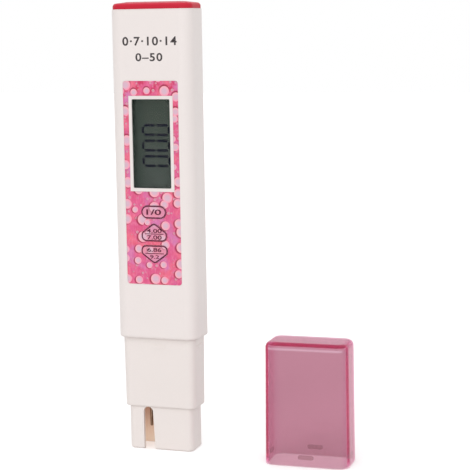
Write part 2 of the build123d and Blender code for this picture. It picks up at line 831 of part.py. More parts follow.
# Gasket in the skirt's groove
with BuildPart() as drawer_gasket:
    extrude(tube_outline(gasket_z + bond_gap, seal_gap), amount=gasket_height - 2 * bond_gap)
    extrude(tube_outline(gasket_z + bond_gap, slide_gap + gasket_groove - bond_gap),
            amount=gasket_height - 2 * bond_gap, mode=Mode.SUBTRACT)
save(drawer_gasket.part, "drawer_gasket")

# Carrier that hangs under the skirt and holds the two cells side by side
carrier_front_y = cell_front_y + cell_proud
carrier_back_y = cell_back_y + carrier_back
cell_places = [(-cell_pitch / 2, cell_z), (cell_pitch / 2, cell_z)]
with BuildPart() as battery_carrier:
    with BuildSketch(Plane.XY.offset(carrier_z)):
        add(tube_outline(carrier_z, slide_gap))
        with Locations((0, (carrier_front_y + carrier_back_y) / 2)):
            Rectangle(bore_width, carrier_back_y - carrier_front_y, mode=Mode.INTERSECT)
    extrude(amount=carrier_height)
    with BuildSketch(plane_at(cell_back_y)):
        with Locations(*cell_places):
            Circle(cell_diameter / 2 + cell_edge_gap)
    extrude(amount=cell_thickness, mode=Mode.SUBTRACT)
    with BuildSketch(plane_at(cell_back_y + bridge_thickness)):
        with Locations((0, cell_z)):
            Rectangle(cell_pitch + bridge_width, bridge_width)
    extrude(amount=cell_thickness, mode=Mode.SUBTRACT)
    with BuildSketch(Plane.XY.offset(skirt_z)):
        with Locations((0, (carrier_front_y + cell_back_y) / 2)):
            Rectangle(carrier_tongue_width, carrier_tongue_depth)
    extrude(amount=skirt_depth)
save(battery_carrier.part, "battery_carrier")

# Strap that joins the backs of the two cells
with BuildPart() as cell_bridge:
    with BuildSketch(plane_at(cell_back_y + bridge_thickness)):
        with Locations((0, cell_z)):
            Rectangle(cell_pitch + bridge_width - 2 * bond_gap, bridge_width - 2 * bond_gap)
    extrude(amount=bridge_thickness - pin_gap)
save(cell_bridge.part, "cell_bridge")


def make_cell(place, can_y, pole_y):
    """Button cell between the base of its can and its narrower pole."""
    towards = 1 if pole_y < can_y else -1
    with BuildPart() as cell:
        with BuildSketch(plane_at(can_y)):
            with Locations(place):
                Circle(cell_diameter / 2)
        extrude(amount=towards * (cell_thickness - cell_step))
        chamfer(cell.edges().filter_by(GeomType.CIRCLE), length=cell_step / 2)
        with BuildSketch(plane_at(pole_y)):
            with Locations(place):
                Circle(cell_diameter / 2 - cell_lip)
        extrude(amount=-towards * 2 * cell_step)
    return cell.part


# The cells lie in turned ways, so that the strap joins them in series
save(make_cell(cell_places[0], cell_back_y, cell_front_y), "left_cell")
save(make_cell(cell_places[1], cell_front_y, cell_back_y), "right_cell")


def make_contact(mid_x):
    """Spring leaf from the board's front face to the face of a cell."""
    foot_y = board_front_y - contact_thickness / 2
    touch_y = cell_front_y - contact_gap - contact_thickness / 2
    touch_top_z = cell_z + cell_diameter / 4
    points = [
        (foot_y, board_top_z - contact_foot),
        (foot_y, carrier_z),
        (touch_y, carrier_z + carrier_height / 6),
        (touch_y, touch_top_z),
        (foot_y, touch_top_z + carrier_height / 8),
    ]
    with BuildPart() as leaf:
        with BuildSketch(Plane.YZ.offset(mid_x - contact_width / 2)):
            with BuildLine() as path:
                FilletPolyline(*points, radius=contact_bend)
            trace(path.line, line_width=contact_thickness)
        extrude(amount=contact_width)
    return leaf.part


save(make_contact(-cell_pitch / 2), "left_contact")
save(make_contact(cell_pitch / 2), "right_contact")

# Protective cap: a thin translucent sleeve with a closed top
cap_plane = Plane(origin=(cap_x, cap_y, 0), z_dir=(0, 0, 1)).rotated((0, 0, cap_turn))
cap_taper = degrees(atan(cap_draft / cap_height))
with BuildPart() as protective_cap:
    with BuildSketch(cap_plane):
        RectangleRounded(cap_width, cap_depth, seat_corner + cap_wall)
    extrude(amount=cap_height, taper=cap_taper)
    fillet(protective_cap.faces().sort_by(Axis.Z)[-1].edges(), radius=cap_edge_round)
    with BuildSketch(cap_plane):
        RectangleRounded(cap_bore_width, cap_bore_depth, seat_corner)
    extrude(amount=cap_inner_height, taper=cap_taper, mode=Mode.SUBTRACT)

    # Dimples near the rim that take the seat's snap ridges
    for side_plane in side_planes(cap_bore_width / 2, cap_bore_depth / 2):
        with BuildSketch(cap_plane * side_plane):
            with Locations((0, ridge_drop)):
                SlotOverall(ridge_length + 2 * ridge_gap, ridge_height + 2 * ridge_gap)
        extrude(amount=ridge_proud, mode=Mode.SUBTRACT)
save(protective_cap.part, "protective_cap")
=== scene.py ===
"""Looks of a water quality test pen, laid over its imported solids.

The pen stands on its tip with its display towards -Y, and its protective cap
stands beside it. Sizes are written in millimetres and turned into metres where
a mesh is made.
"""

from __future__ import annotations

import logging
import math
from abc import ABC, abstractmethod
from collections.abc import Iterable, Sequence
from dataclasses import dataclass
from enum import Enum
from functools import cache, reduce
from typing import Any

import bmesh
import bpy
from mathutils import Matrix, Vector
from mathutils.geometry import convex_hull_2d


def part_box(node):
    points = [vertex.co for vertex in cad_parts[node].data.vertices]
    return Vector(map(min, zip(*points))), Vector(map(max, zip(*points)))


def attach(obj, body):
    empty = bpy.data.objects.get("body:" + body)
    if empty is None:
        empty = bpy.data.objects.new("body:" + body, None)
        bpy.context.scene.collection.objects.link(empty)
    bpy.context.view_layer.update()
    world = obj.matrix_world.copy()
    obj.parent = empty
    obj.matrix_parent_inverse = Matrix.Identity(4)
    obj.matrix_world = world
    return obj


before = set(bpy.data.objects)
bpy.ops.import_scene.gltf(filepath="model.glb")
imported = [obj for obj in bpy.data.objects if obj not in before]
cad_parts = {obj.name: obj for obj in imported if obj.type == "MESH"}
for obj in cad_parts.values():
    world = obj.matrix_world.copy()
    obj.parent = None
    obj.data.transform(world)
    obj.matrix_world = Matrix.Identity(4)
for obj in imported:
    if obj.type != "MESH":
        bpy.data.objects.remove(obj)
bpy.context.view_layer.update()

MM = 0.001
PER_METRE = 1000.0

# How far prints reach into what they lie on, how far apart two corners of one flat face may seem to lie, the
# decimal places to which such corners are told apart, and how near two corners of a figure count as one
PRINT_SINK = 0.004
FLATNESS = 0.001
PLACES = 4
WELD = 0.002

Colour = tuple[float, float, float, float]
Point = tuple[float, float]
Triple = tuple[float, float, float]
Node = bpy.types.Node
Socket = bpy.types.NodeSocket
Tree = bpy.types.NodeTree
Piece = bpy.types.Object

log = logging.getLogger("test_pen")


class SocketKind(Enum):
    """Kinds of sockets that the shared groups and trees offer."""

    FLOAT = "NodeSocketFloat"
    INT = "NodeSocketInt"
    COLOUR = "NodeSocketColor"
    VECTOR = "NodeSocketVector"
    GEOMETRY = "NodeSocketGeometry"
    MATERIAL = "NodeSocketMaterial"


Labels = dict[SocketKind, Sequence[str]]


class Lie(Enum):
    """Direction along which brushed metal is drawn out."""

    ALONG_X = (0.05, 1.0, 1.0)
    ALONG_Z = (1.0, 1.0, 0.05)


def srgb(red: int, green: int, blue: int) -> Colour:
    """Turns a colour as it is seen on screen into the linear one that sockets take.

    Args:
        red: Red level from 0 to 255.
        green: Green level from 0 to 255.
        blue: Blue level from 0 to 255.

    Returns:
        Linear colour with full alpha.
    """

    def linear(level: int) -> float:
        share = level / 255
        return share / 12.92 if share <= 0.04045 else ((share + 0.055) / 1.055) ** 2.4

    return linear(red), linear(green), linear(blue), 1.0


def dimmed(colour: Colour, share: float) -> Colour:
    """Darkens a colour to a share of its light."""
    return tuple(share * level for level in colour[:3]) + (1.0,)


BLACK = srgb(0, 0, 0)
WHITE = srgb(255, 255, 255)


@dataclass(frozen=True)
class Patches:
    """A noise, the stretch of it that counts, and what the two ends of that stretch become."""

    scale: Any
    detail: float
    start: float = 0.0
    end: float = 1.0
    least: float = 0.0
    most: float = 1.0


class Wiring:
    """Adds nodes to one tree and joins their sockets."""

    def __init__(self, tree: Tree) -> None:
        """Keeps the tree that the nodes go into."""
        self.tree = tree

    def feed(self, socket: Socket, value: Any) -> None:
        """Links a socket to another, or sets it to a plain value."""
        if isinstance(value, Socket):
            self.tree.links.new(value, socket)
        else:
            socket.default_value = value

    def add(self, kind: str, inputs: dict[Any, Any] | None = None, **settings: Any) -> Node:
        """Adds a node.

        Args:
            kind: Type name of the node.
            inputs: What each input takes, by name or place.
            settings: Properties of the node itself.

        Returns:
            The new node.
        """
        node = self.tree.nodes.new(kind)
        for name, value in settings.items():
            setattr(node, name, value)
        for key, value in (inputs or {}).items():
            self.feed(node.inputs[key], value)
        return node

    def maths(self, operation: str, *values: Any, clamp: bool = False) -> Socket:
        """Adds a Math node and returns its result."""
        inputs = dict(enumerate(values))
        return self.add("ShaderNodeMath", inputs, operation=operation, use_clamp=clamp).outputs[0]

    def times(self, *values: Any) -> Socket:
        """Multiplies two or more values."""
        return reduce(lambda first, second: self.maths("MULTIPLY", first, second), values)

    def vector(self, operation: str, *values: Any) -> Socket:
        """Adds a Vector Math node and returns its result, a number for a length or a dot product."""
        outputs = self.add("ShaderNodeVectorMath", dict(enumerate(values)), operation=operation).outputs
        return outputs["Value" if operation in ("LENGTH", "DOT_PRODUCT") else "Vector"]

    def divided(self, vector: Any, number: Any) -> Socket:
        """Divides a vector by a number."""
        inputs = {0: vector, "Scale": self.maths("DIVIDE", 1.0, number)}
        return self.add("ShaderNodeVectorMath", inputs, operation="SCALE").outputs[0]

    def blend(self, factor: Any, first: Any, second: Any, mode: str = "MIX") -> Socket:
        """Adds a colour mix and returns its result."""
        inputs = {"Factor": factor, 6: first, 7: second}
        return self.add("ShaderNodeMix", inputs, data_type="RGBA", blend_type=mode).outputs[2]

    def step(self, value: Any, low: Any, high: Any, at_low: float = 0.0, at_high: float = 1.0) -> Socket:
        """Adds a smooth step from one value to another and returns its result."""
        inputs = {"Value": value, "From Min": low, "From Max": high, "To Min": at_low, "To Max": at_high}
        return self.add("ShaderNodeMapRange", inputs, interpolation_type="SMOOTHSTEP").outputs["Result"]

    def fall(self, value: Any, low: Any, high: Any) -> Socket:
        """Adds a smooth step from one down to nothing and returns its result."""
        return self.step(value, low, high, 1.0, 0.0)

    def noise(self, vector: Any, patches: Patches) -> Socket:
        """Adds a noise texture and returns its plain value."""
        inputs = {"Vector": vector, "Scale": patches.scale, "Detail": patches.detail}
        return self.add("ShaderNodeTexNoise", inputs).outputs[0]

    def stretch(self, value: Any, patches: Patches) -> Socket:
        """Turns a noise's plain value into what its stretch becomes."""
        return self.step(value, patches.start, patches.end, patches.least, patches.most)

    def patch(self, vector: Any, patches: Patches) -> Socket:
        """Adds a noise texture and returns what its stretch becomes."""
        return self.stretch(self.noise(vector, patches), patches)

    def axes(self, vector: Any) -> Any:
        """Splits a vector into its X, Y and Z."""
        return self.add("ShaderNodeSeparateXYZ", {0: vector}).outputs

    def place(self, centre: Point = (0.0, 0.0), turn: float = 0.0) -> Socket:
        """Gives the object's own coordinates in millimetres.

        Args:
            centre: X and Y of the point that becomes the origin, in millimetres.
            turn: Angle about +Z that is turned back, in degrees.

        Returns:
            The coordinates.
        """
        own = self.add("ShaderNodeTexCoord").outputs["Object"]
        moved = self.vector("SUBTRACT", own, (centre[0] * MM, centre[1] * MM, 0.0))
        inputs = {"Vector": moved, "Rotation": (0.0, 0.0, -math.radians(turn)), "Scale": (PER_METRE,) * 3}
        return self.add("ShaderNodeMapping", inputs).outputs[0]

    def front_plane(self, axes: Any) -> Socket:
        """Lays X and Z out as a flat place on the front."""
        return self.add("ShaderNodeCombineXYZ", {0: axes[0], 1: axes[2]}).outputs[0]

    def group(self, tree: Tree, inputs: dict[str, Any]) -> Any:
        """Places a shared group with its own values and returns its outputs."""
        return self.add("ShaderNodeGroup", inputs, node_tree=tree).outputs


class SharedGroup(Wiring):
    """A node group with named inputs and outputs."""

    def __init__(self, name: str, takes: Labels, gives: Labels, kind: str = "ShaderNodeTree") -> None:
        """Makes the group and its sockets.

        Args:
            name: Name of the group.
            takes: Names of the inputs of each kind.
            gives: Names of the outputs of each kind.
            kind: Type of the tree.
        """
        super().__init__(bpy.data.node_groups.new(name, kind))
        for way, sockets in (("INPUT", takes), ("OUTPUT", gives)):
            for socket, labels in sockets.items():
                for label in labels:
                    self.tree.interface.new_socket(name=label, in_out=way, socket_type=socket.value)
        self.given = self.add("NodeGroupInput").outputs
        self.result = self.add("NodeGroupOutput").inputs

    def give(self, name: str, value: Any) -> None:
        """Sends a value out of the group."""
        self.feed(self.result[name], value)


NOISE_MEAN = 0.5
CLOUD_DETAIL = 3.0
GRAIN_DETAIL = 2.0
GRAIN_SHARE = 0.05
SPECKS = Patches(2.1, 1.0, 0.70, 0.78)
SPECK_SHARE = 0.03
CLOUD_ROUGHNESS = 0.9


@cache
def mould_mottle() -> Tree:
    """Soft clouds, fine specks and grain, as moulded plastic shows them.

    Returns:
        The group. It takes millimetre coordinates, a tint, how deep the clouds are and a mean roughness.
    """
    group = SharedGroup(
        "mould_mottle",
        {SocketKind.VECTOR: ["Vector"], SocketKind.COLOUR: ["Tint"],
         SocketKind.FLOAT: ["Depth", "Cloud Scale", "Grain Scale", "Roughness"]},
        {SocketKind.COLOUR: ["Color"], SocketKind.FLOAT: ["Roughness", "Height"]},
    )
    given = group.given
    cloud = group.noise(given["Vector"], Patches(given["Cloud Scale"], CLOUD_DETAIL))
    grain = group.noise(given["Vector"], Patches(given["Grain Scale"], GRAIN_DETAIL))
    swing = group.times(group.maths("SUBTRACT", cloud, NOISE_MEAN), given["Depth"])
    fine = group.times(group.maths("SUBTRACT", grain, NOISE_MEAN), GRAIN_SHARE)
    speck = group.times(group.patch(given["Vector"], SPECKS), SPECK_SHARE)
    level = group.maths("SUBTRACT", group.maths("ADD", swing, fine), speck)
    share = group.maths("ADD", level, 1.0)
    shade = group.add("ShaderNodeCombineColor", {0: share, 1: share, 2: share}).outputs[0]
    group.give("Color", group.blend(1.0, given["Tint"], shade, "MULTIPLY"))
    rough = group.maths("ADD", given["Roughness"], group.times(swing, CLOUD_ROUGHNESS), clamp=True)
    group.give("Roughness", rough)
    group.give("Height", grain)
    return group.tree


RUB_LIES = ((0.4, (3.2, 3.2, 0.12)), (-0.9, (0.10, 2.6, 2.6)))
RUB_LINES = Patches(1.0, 3.0, 0.62, 0.76)
RUB_PATCHES = Patches(0.09, 1.0, 0.42, 0.66)


@cache
def handling_marks() -> Tree:
    """Fine rubbed lines that cross at two slants.

    Returns:
        The group. It takes millimetre coordinates and an amount, and gives a mask.
    """
    group = SharedGroup("handling_marks", {SocketKind.VECTOR: ["Vector"], SocketKind.FLOAT: ["Amount"]},
                        {SocketKind.FLOAT: ["Mask"]})
    masks = []
    for slant, squeeze in RUB_LIES:
        inputs = {"Vector": group.given["Vector"], "Rotation": (slant, slant / 2, slant), "Scale": squeeze}
        masks.append(group.patch(group.add("ShaderNodeMapping", inputs).outputs[0], RUB_LINES))
    both = group.times(group.maths("MAXIMUM", *masks), group.patch(group.given["Vector"], RUB_PATCHES))
    group.give("Mask", group.maths("MULTIPLY", both, group.given["Amount"], clamp=True))
    return group.tree


SEAM_PATCHES = Patches(0.45, 2.0, 0.3, 0.7, 0.55, 1.0)


@cache
def seam_tone() -> Tree:
    """A soft uneven band at one height along a seam, which darkens it with dust and painted shade, or
    lightens it with a painted highlight.

    Returns:
        The group. It takes millimetre coordinates, a height, the band's reach and an amount.
    """
    takes = {SocketKind.VECTOR: ["Vector"], SocketKind.FLOAT: ["Level", "Reach", "Amount"]}
    group = SharedGroup("seam_tone", takes, {SocketKind.FLOAT: ["Mask"]})
    given = group.given
    away = group.maths("ABSOLUTE", group.maths("SUBTRACT", group.axes(given["Vector"])[2], given["Level"]))
    band = group.fall(group.maths("DIVIDE", away, given["Reach"]), 0.0, 1.0)
    uneven = group.patch(given["Vector"], SEAM_PATCHES)
    group.give("Mask", group.times(band, uneven, given["Amount"]))
    return group.tree


DROPLET_WANDER = 0.66
DROPLET_SPREAD = (0.66, 1.16)
DROPLET_EDGE = (0.90, 1.05)
SHADOW_EDGE = (0.86, 1.26)
RIM_EDGE = (0.35, 0.92)
SIDE_EDGE = (-0.2, 0.2)


@cache
def droplet_layer() -> Tree:
    """Round printed droplets strewn over a plane, one in each cell that holds one.

    Returns:
        The group. It takes a place on the plane in millimetres, the cells' size, the droplets' radius as a
        share of it, the share of cells that are filled, a shift, and the side that their shadows fall to as
        a share of their radius. It gives masks for the droplets and their shadows, how near a point is to
        the rim, and how far it lies towards the shadow.
    """
    group = SharedGroup(
        "droplet_layer",
        {SocketKind.VECTOR: ["Vector", "Shift", "Cast"], SocketKind.FLOAT: ["Cell", "Radius", "Fill"]},
        {SocketKind.FLOAT: ["Droplet", "Shadow", "Rim", "Side"]},
    )
    given = group.given
    spot = group.vector("ADD", group.divided(given["Vector"], given["Cell"]), given["Shift"])
    cells = group.add("ShaderNodeTexVoronoi", {"Vector": spot, "Scale": 1.0, "Randomness": DROPLET_WANDER},
                      voronoi_dimensions="2D").outputs
    luck = group.add("ShaderNodeSeparateColor", {0: cells["Color"]}).outputs
    radius = group.times(given["Radius"], group.step(luck[0], 0.0, 1.0, *DROPLET_SPREAD))
    held = group.maths("LESS_THAN", luck[1], given["Fill"])
    inner = group.divided(group.vector("SUBTRACT", spot, cells["Position"]), radius)
    flat = group.vector("MULTIPLY", inner, (1.0, 1.0, 0.0))
    away = group.vector("LENGTH", flat)
    beside = group.vector("LENGTH", group.vector("SUBTRACT", flat, given["Cast"]))
    group.give("Droplet", group.times(group.fall(away, *DROPLET_EDGE), held))
    group.give("Shadow", group.times(group.fall(beside, *SHADOW_EDGE), held))
    group.give("Rim", group.step(away, *RIM_EDGE))
    group.give("Side", group.step(group.vector("DOT_PRODUCT", flat, given["Cast"]), *SIDE_EDGE))
    return group.tree


@dataclass
class Surface:
    """What a finish gives its shader: a value for each socket, and a height with its depth in millimetres."""

    sockets: dict[str, Any]
    height: Any
    depth: float


class Finish(ABC):
    """A material of the pen, made once and shared by what wears it."""

    name: str

    @cache
    def material(self) -> bpy.types.Material:
        """Makes the material on first use and gives the same one after that."""
        made = bpy.data.materials.new(self.name)
        made.use_nodes = True
        wires = Wiring(made.node_tree)
        shader = made.node_tree.nodes["Principled BSDF"]
        surface = self.surface(wires)
        bump = {"Strength": 1.0, "Distance": surface.depth * MM, "Height": surface.height}
        surface.sockets["Normal"] = wires.add("ShaderNodeBump", bump).outputs[0]
        for socket, value in surface.sockets.items():
            wires.feed(shader.inputs[socket], value)
        return made

    @abstractmethod
    def surface(self, wires: Wiring) -> Surface:
        """Lays the finish's nodes and gives what they come to."""


@dataclass(frozen=True)
class Seam:
    """A band at one height where a moulding is darker or lighter."""

    level: float
    reach: float
    amount: float
    tint: Colour


@dataclass(frozen=True)
class MouldedFinish(Finish):
    """Moulded plastic with soft clouds, grain, rubbed lines, and seams toned with dust, painted shade and
    painted highlights.
    """

    name: str
    tint: Colour
    roughness: float = 0.42
    depth: float = 0.05
    cloud_scale: float = 0.06
    grain_scale: float = 5.0
    grain_depth: float = 0.006
    marks: float = 0.25
    mark_polish: float = 0.25
    gloss: float = 0.5
    seams: tuple[Seam, ...] = ()

    def ground(self, wires: Wiring) -> Any:
        """Gives the colour under the clouds."""
        return self.tint

    def surface(self, wires: Wiring) -> Surface:
        """Lays the clouds, marks and seams."""
        place = wires.place()
        plain = wires.group(mould_mottle(), {
            "Vector": place, "Tint": self.ground(wires), "Depth": self.depth, "Cloud Scale": self.cloud_scale,
            "Grain Scale": self.grain_scale, "Roughness": self.roughness})
        marks = wires.group(handling_marks(), {"Vector": place, "Amount": self.marks})["Mask"]
        colour = plain["Color"]
        for seam in self.seams:
            mask = wires.group(seam_tone(), {"Vector": place, "Level": seam.level, "Reach": seam.reach,
                                             "Amount": seam.amount})["Mask"]
            colour = wires.blend(mask, colour, seam.tint)
        rubbed = wires.maths("SUBTRACT", plain["Roughness"], wires.times(marks, self.mark_polish), clamp=True)
        return Surface({"Base Color": colour, "Roughness": rubbed, "Specular IOR Level": self.gloss},
                       wires.maths("SUBTRACT", plain["Height"], marks), self.grain_depth)


@dataclass(frozen=True)
class WellFinish(MouldedFinish):
    """Moulded plastic that is stained inside a well below it, with painted shade that deepens towards the
    well's roof, and painted light, as emission, in place of the light that comes through its walls.
    """

    # Stain mixed with painted shade in the well, darker towards its roof
    stain_and_shade: Colour = srgb(246, 228, 212)
    deep_stain_and_shade: Colour = srgb(222, 190, 168)
    # Painted light that glows in the well as emission, dimmer towards its roof
    painted_light: Colour = srgb(118, 108, 98)
    dim_painted_light: Colour = srgb(82, 64, 57)
    half_width: float = 10.6
    half_depth: float = 4.15
    side_fade: float = 0.15
    roof: float = 17.0
    roof_fade: float = 0.2
    dark_from: float = 1.0
    dark_below_roof: float = 2.0

    def within(self, wires: Wiring, outside: Colour, low: Colour, high: Colour) -> Socket:
        """Blends a colour outside the well with those inside it.

        Args:
            wires: Wiring of the material.
            outside: Colour of what lies outside the well.
            low: Colour at the well's mouth.
            high: Colour near its roof.

        Returns:
            The blended colour.
        """
        axes = wires.axes(wires.place())
        across, through = (wires.fall(wires.maths("ABSOLUTE", axes[axis]), half - self.side_fade, half)
                           for axis, half in ((0, self.half_width), (1, self.half_depth)))
        below = wires.fall(axes[2], self.roof, self.roof + self.roof_fade)
        rise = wires.step(axes[2], self.dark_from, self.roof - self.dark_below_roof)
        return wires.blend(wires.times(across, through, below), outside, wires.blend(rise, low, high))

    def ground(self, wires: Wiring) -> Any:
        """Gives the colour under the clouds, with stain and painted shade in the well."""
        return self.within(wires, self.tint, self.stain_and_shade, self.deep_stain_and_shade)

    def surface(self, wires: Wiring) -> Surface:
        """Lays the moulded surface with painted light, as emission, that stands in for the light coming
        through the well's walls.
        """
        made = super().surface(wires)
        # Painted light: the well glows as emission, with no lamp there
        made.sockets["Emission Color"] = self.within(wires, BLACK, self.painted_light, self.dim_painted_light)
        made.sockets["Emission Strength"] = 1.0
        return made


@dataclass(frozen=True)
class DropletSize:
    """One size of printed droplet, with how densely it is strewn and how strongly it shows."""

    cell: float
    radius: float
    fill: float
    strength: float
    shift: Triple


@dataclass(frozen=True)
class DropletPrint(Finish):
    """Pink print with strewn droplets under a clear film. A veil lightens it on the keys."""

    name: str
    veil: float = 0.0
    veil_tint: Colour = srgb(228, 182, 200)
    base: Colour = srgb(228, 98, 146)
    warm: Colour = srgb(240, 112, 138)
    warm_patches: Patches = Patches(0.13, 2.0, 0.44, 0.62)
    lilac: Colour = srgb(218, 124, 178)
    lilac_patches: Patches = Patches(0.15, 2.0, 0.5, 0.68)
    lilac_shift: Triple = (31.0, 17.0, 0.0)
    crimson: Colour = srgb(208, 40, 84)
    crimson_patches: Patches = Patches(0.34, 3.0, 0.42, 0.70)
    crimson_low: float = 0.25
    crimson_more: float = 0.6
    streaks: Patches = Patches(1.6, 3.0, 0.42, 0.75, 0.0, 0.30)
    streak_squeeze: Triple = (1.0, 0.45, 1.0)
    centre: Colour = srgb(224, 186, 204)
    rim: Colour = srgb(252, 162, 186)
    lit_rim: Colour = srgb(255, 184, 196)
    shadow: Colour = srgb(156, 18, 58)
    shadow_share: float = 0.9
    low_cast: Triple = (-0.22, -0.08, 0.0)
    high_cast: Triple = (-0.06, 0.24, 0.0)
    cast_turns: Point = (96.0, 118.0)
    sizes: tuple[DropletSize, ...] = (
        DropletSize(1.15, 0.26, 0.30, 0.35, (3.3, 7.1, 0.0)),
        DropletSize(2.3, 0.22, 0.45, 0.60, (5.2, 1.7, 0.0)),
        DropletSize(4.75, 0.34, 0.97, 1.0, (0.45, 0.30, 0.0)),
    )
    film: Patches = Patches(0.8, 2.0, 0.3, 0.7, 0.30, 0.42)
    gloss: float = 0.25
    grain: Patches = Patches(4.0, 2.0)
    grain_depth: float = 0.003

    def surface(self, wires: Wiring) -> Surface:
        """Lays the sizes of droplets over a clouded ground."""
        place = wires.place()
        axes = wires.axes(place)
        plane = wires.front_plane(axes)
        high = wires.step(axes[2], *self.cast_turns)
        cast = wires.add("ShaderNodeMix", data_type="VECTOR")
        for key, value in (("Factor", high), (4, self.low_cast), (5, self.high_cast)):
            wires.feed(cast.inputs[key], value)
        colour = self.ground(wires, plane, high)
        for size in self.sizes:
            layer = wires.group(droplet_layer(), {
                "Vector": plane, "Cell": size.cell, "Radius": size.radius, "Fill": size.fill,
                "Shift": size.shift, "Cast": cast.outputs[1]})
            shade = wires.times(layer["Shadow"], self.shadow_share * size.strength)
            colour = wires.blend(shade, colour, self.shadow)
            body = wires.blend(layer["Rim"], self.centre, wires.blend(layer["Side"], self.rim, self.lit_rim))
            colour = wires.blend(wires.times(layer["Droplet"], size.strength), colour, body)
        if self.veil:
            colour = wires.blend(self.veil, colour, self.veil_tint)
        return Surface({"Base Color": colour, "Roughness": wires.patch(place, self.film),
                        "Specular IOR Level": self.gloss}, wires.noise(place, self.grain), self.grain_depth)

    def ground(self, wires: Wiring, plane: Any, high: Any) -> Socket:
        """Gives the clouded colour between the droplets.

        Args:
            wires: Wiring of the material.
            plane: Place on the sheet, in millimetres.
            high: Rises from nothing to one towards the sheet's top, where the colour is deeper.

        Returns:
            The colour.
        """
        colour = wires.blend(wires.patch(plane, self.warm_patches), self.base, self.warm)
        shifted = wires.vector("ADD", plane, self.lilac_shift)
        colour = wires.blend(wires.patch(shifted, self.lilac_patches), colour, self.lilac)
        deeper = wires.maths("ADD", wires.times(high, self.crimson_more), self.crimson_low)
        share = wires.times(wires.patch(plane, self.crimson_patches), deeper)
        colour = wires.blend(share, colour, self.crimson)
        squeezed = wires.vector("MULTIPLY", plane, self.streak_squeeze)
        return wires.blend(wires.patch(squeezed, self.streaks), colour, self.rim)


@dataclass(frozen=True)
class InkFinish(Finish):
    """Printed ink, thinner in places."""

    name: str
    tint: Colour
    thin: Colour
    gloss: float = 0.3
    thinning: Patches = Patches(0.5, 3.0, 0.35, 0.75)
    grain: Patches = Patches(6.0, 2.0, 0.2, 0.8, 0.49, 0.61)
    grain_depth: float = 0.002

    def surface(self, wires: Wiring) -> Surface:
        """Lays the uneven ink."""
        place = wires.place()
        grain = wires.noise(place, self.grain)
        colour = wires.blend(wires.patch(place, self.thinning), self.tint, self.thin)
        return Surface({"Base Color": colour, "Roughness": wires.stretch(grain, self.grain),
                        "Specular IOR Level": self.gloss}, grain, self.grain_depth)


@dataclass(frozen=True)
class PanelFinish(Finish):
    """Grey-green face of the liquid crystal panel, with painted shade towards one side and paler painted
    light towards its foot.
    """

    name: str
    tint: Colour = srgb(70, 76, 70)
    # Painted shade towards the panel's left side
    shade: Colour = srgb(54, 64, 59)
    shade_span: Point = (-6.8, -1.5)
    shade_share: float = 0.8
    # Painted light, paler towards the panel's foot
    painted_light: Colour = srgb(84, 88, 88)
    painted_light_span: Point = (92.0, 118.0)
    painted_light_share: float = 0.55
    clouds: Patches = Patches(0.25, 2.0, 0.35, 0.7, 0.0, 0.35)
    wear: Patches = Patches(2.0, 1.0, 0.3, 0.7, 0.32, 0.42)
    gloss: float = 0.12
    grain: Patches = Patches(3.0, 1.0)
    grain_depth: float = 0.002

    def surface(self, wires: Wiring) -> Surface:
        """Lays the panel with its painted shade and painted light."""
        place = wires.place()
        axes = wires.axes(place)
        # Painted light towards the foot, then painted shade towards the left
        colour = wires.blend(wires.step(axes[2], *self.painted_light_span, self.painted_light_share, 0.0), self.tint, self.painted_light)
        left = wires.times(wires.fall(axes[0], *self.shade_span), self.shade_share)
        colour = wires.blend(left, colour, self.shade)
        colour = wires.blend(wires.patch(place, self.clouds), colour, self.shade)
        return Surface({"Base Color": colour, "Roughness": wires.patch(place, self.wear),
                        "Specular IOR Level": self.gloss}, wires.noise(place, self.grain), self.grain_depth)


@dataclass(frozen=True)
class ClearFinish(Finish):
    """Clear glass or plastic with faint smears."""

    name: str
    tint: Colour
    ior: float
    smear: float
    faded: float = 0.94
    polish: float = 0.01
    clouds: Patches = Patches(0.5, 3.0)
    smear_span: Point = (0.4, 0.75)
    ripples: Patches = Patches(0.7, 1.0)
    ripple_depth: float = 0.0015

    def surface(self, wires: Wiring) -> Surface:
        """Lays the smears."""
        place = wires.place()
        cloud = wires.noise(place, self.clouds)
        return Surface({
            "Base Color": wires.blend(cloud, self.tint, dimmed(self.tint, self.faded)),
            "Roughness": wires.step(cloud, *self.smear_span, self.polish, self.smear),
            "Transmission Weight": 1.0, "IOR": self.ior}, wires.noise(place, self.ripples), self.ripple_depth)


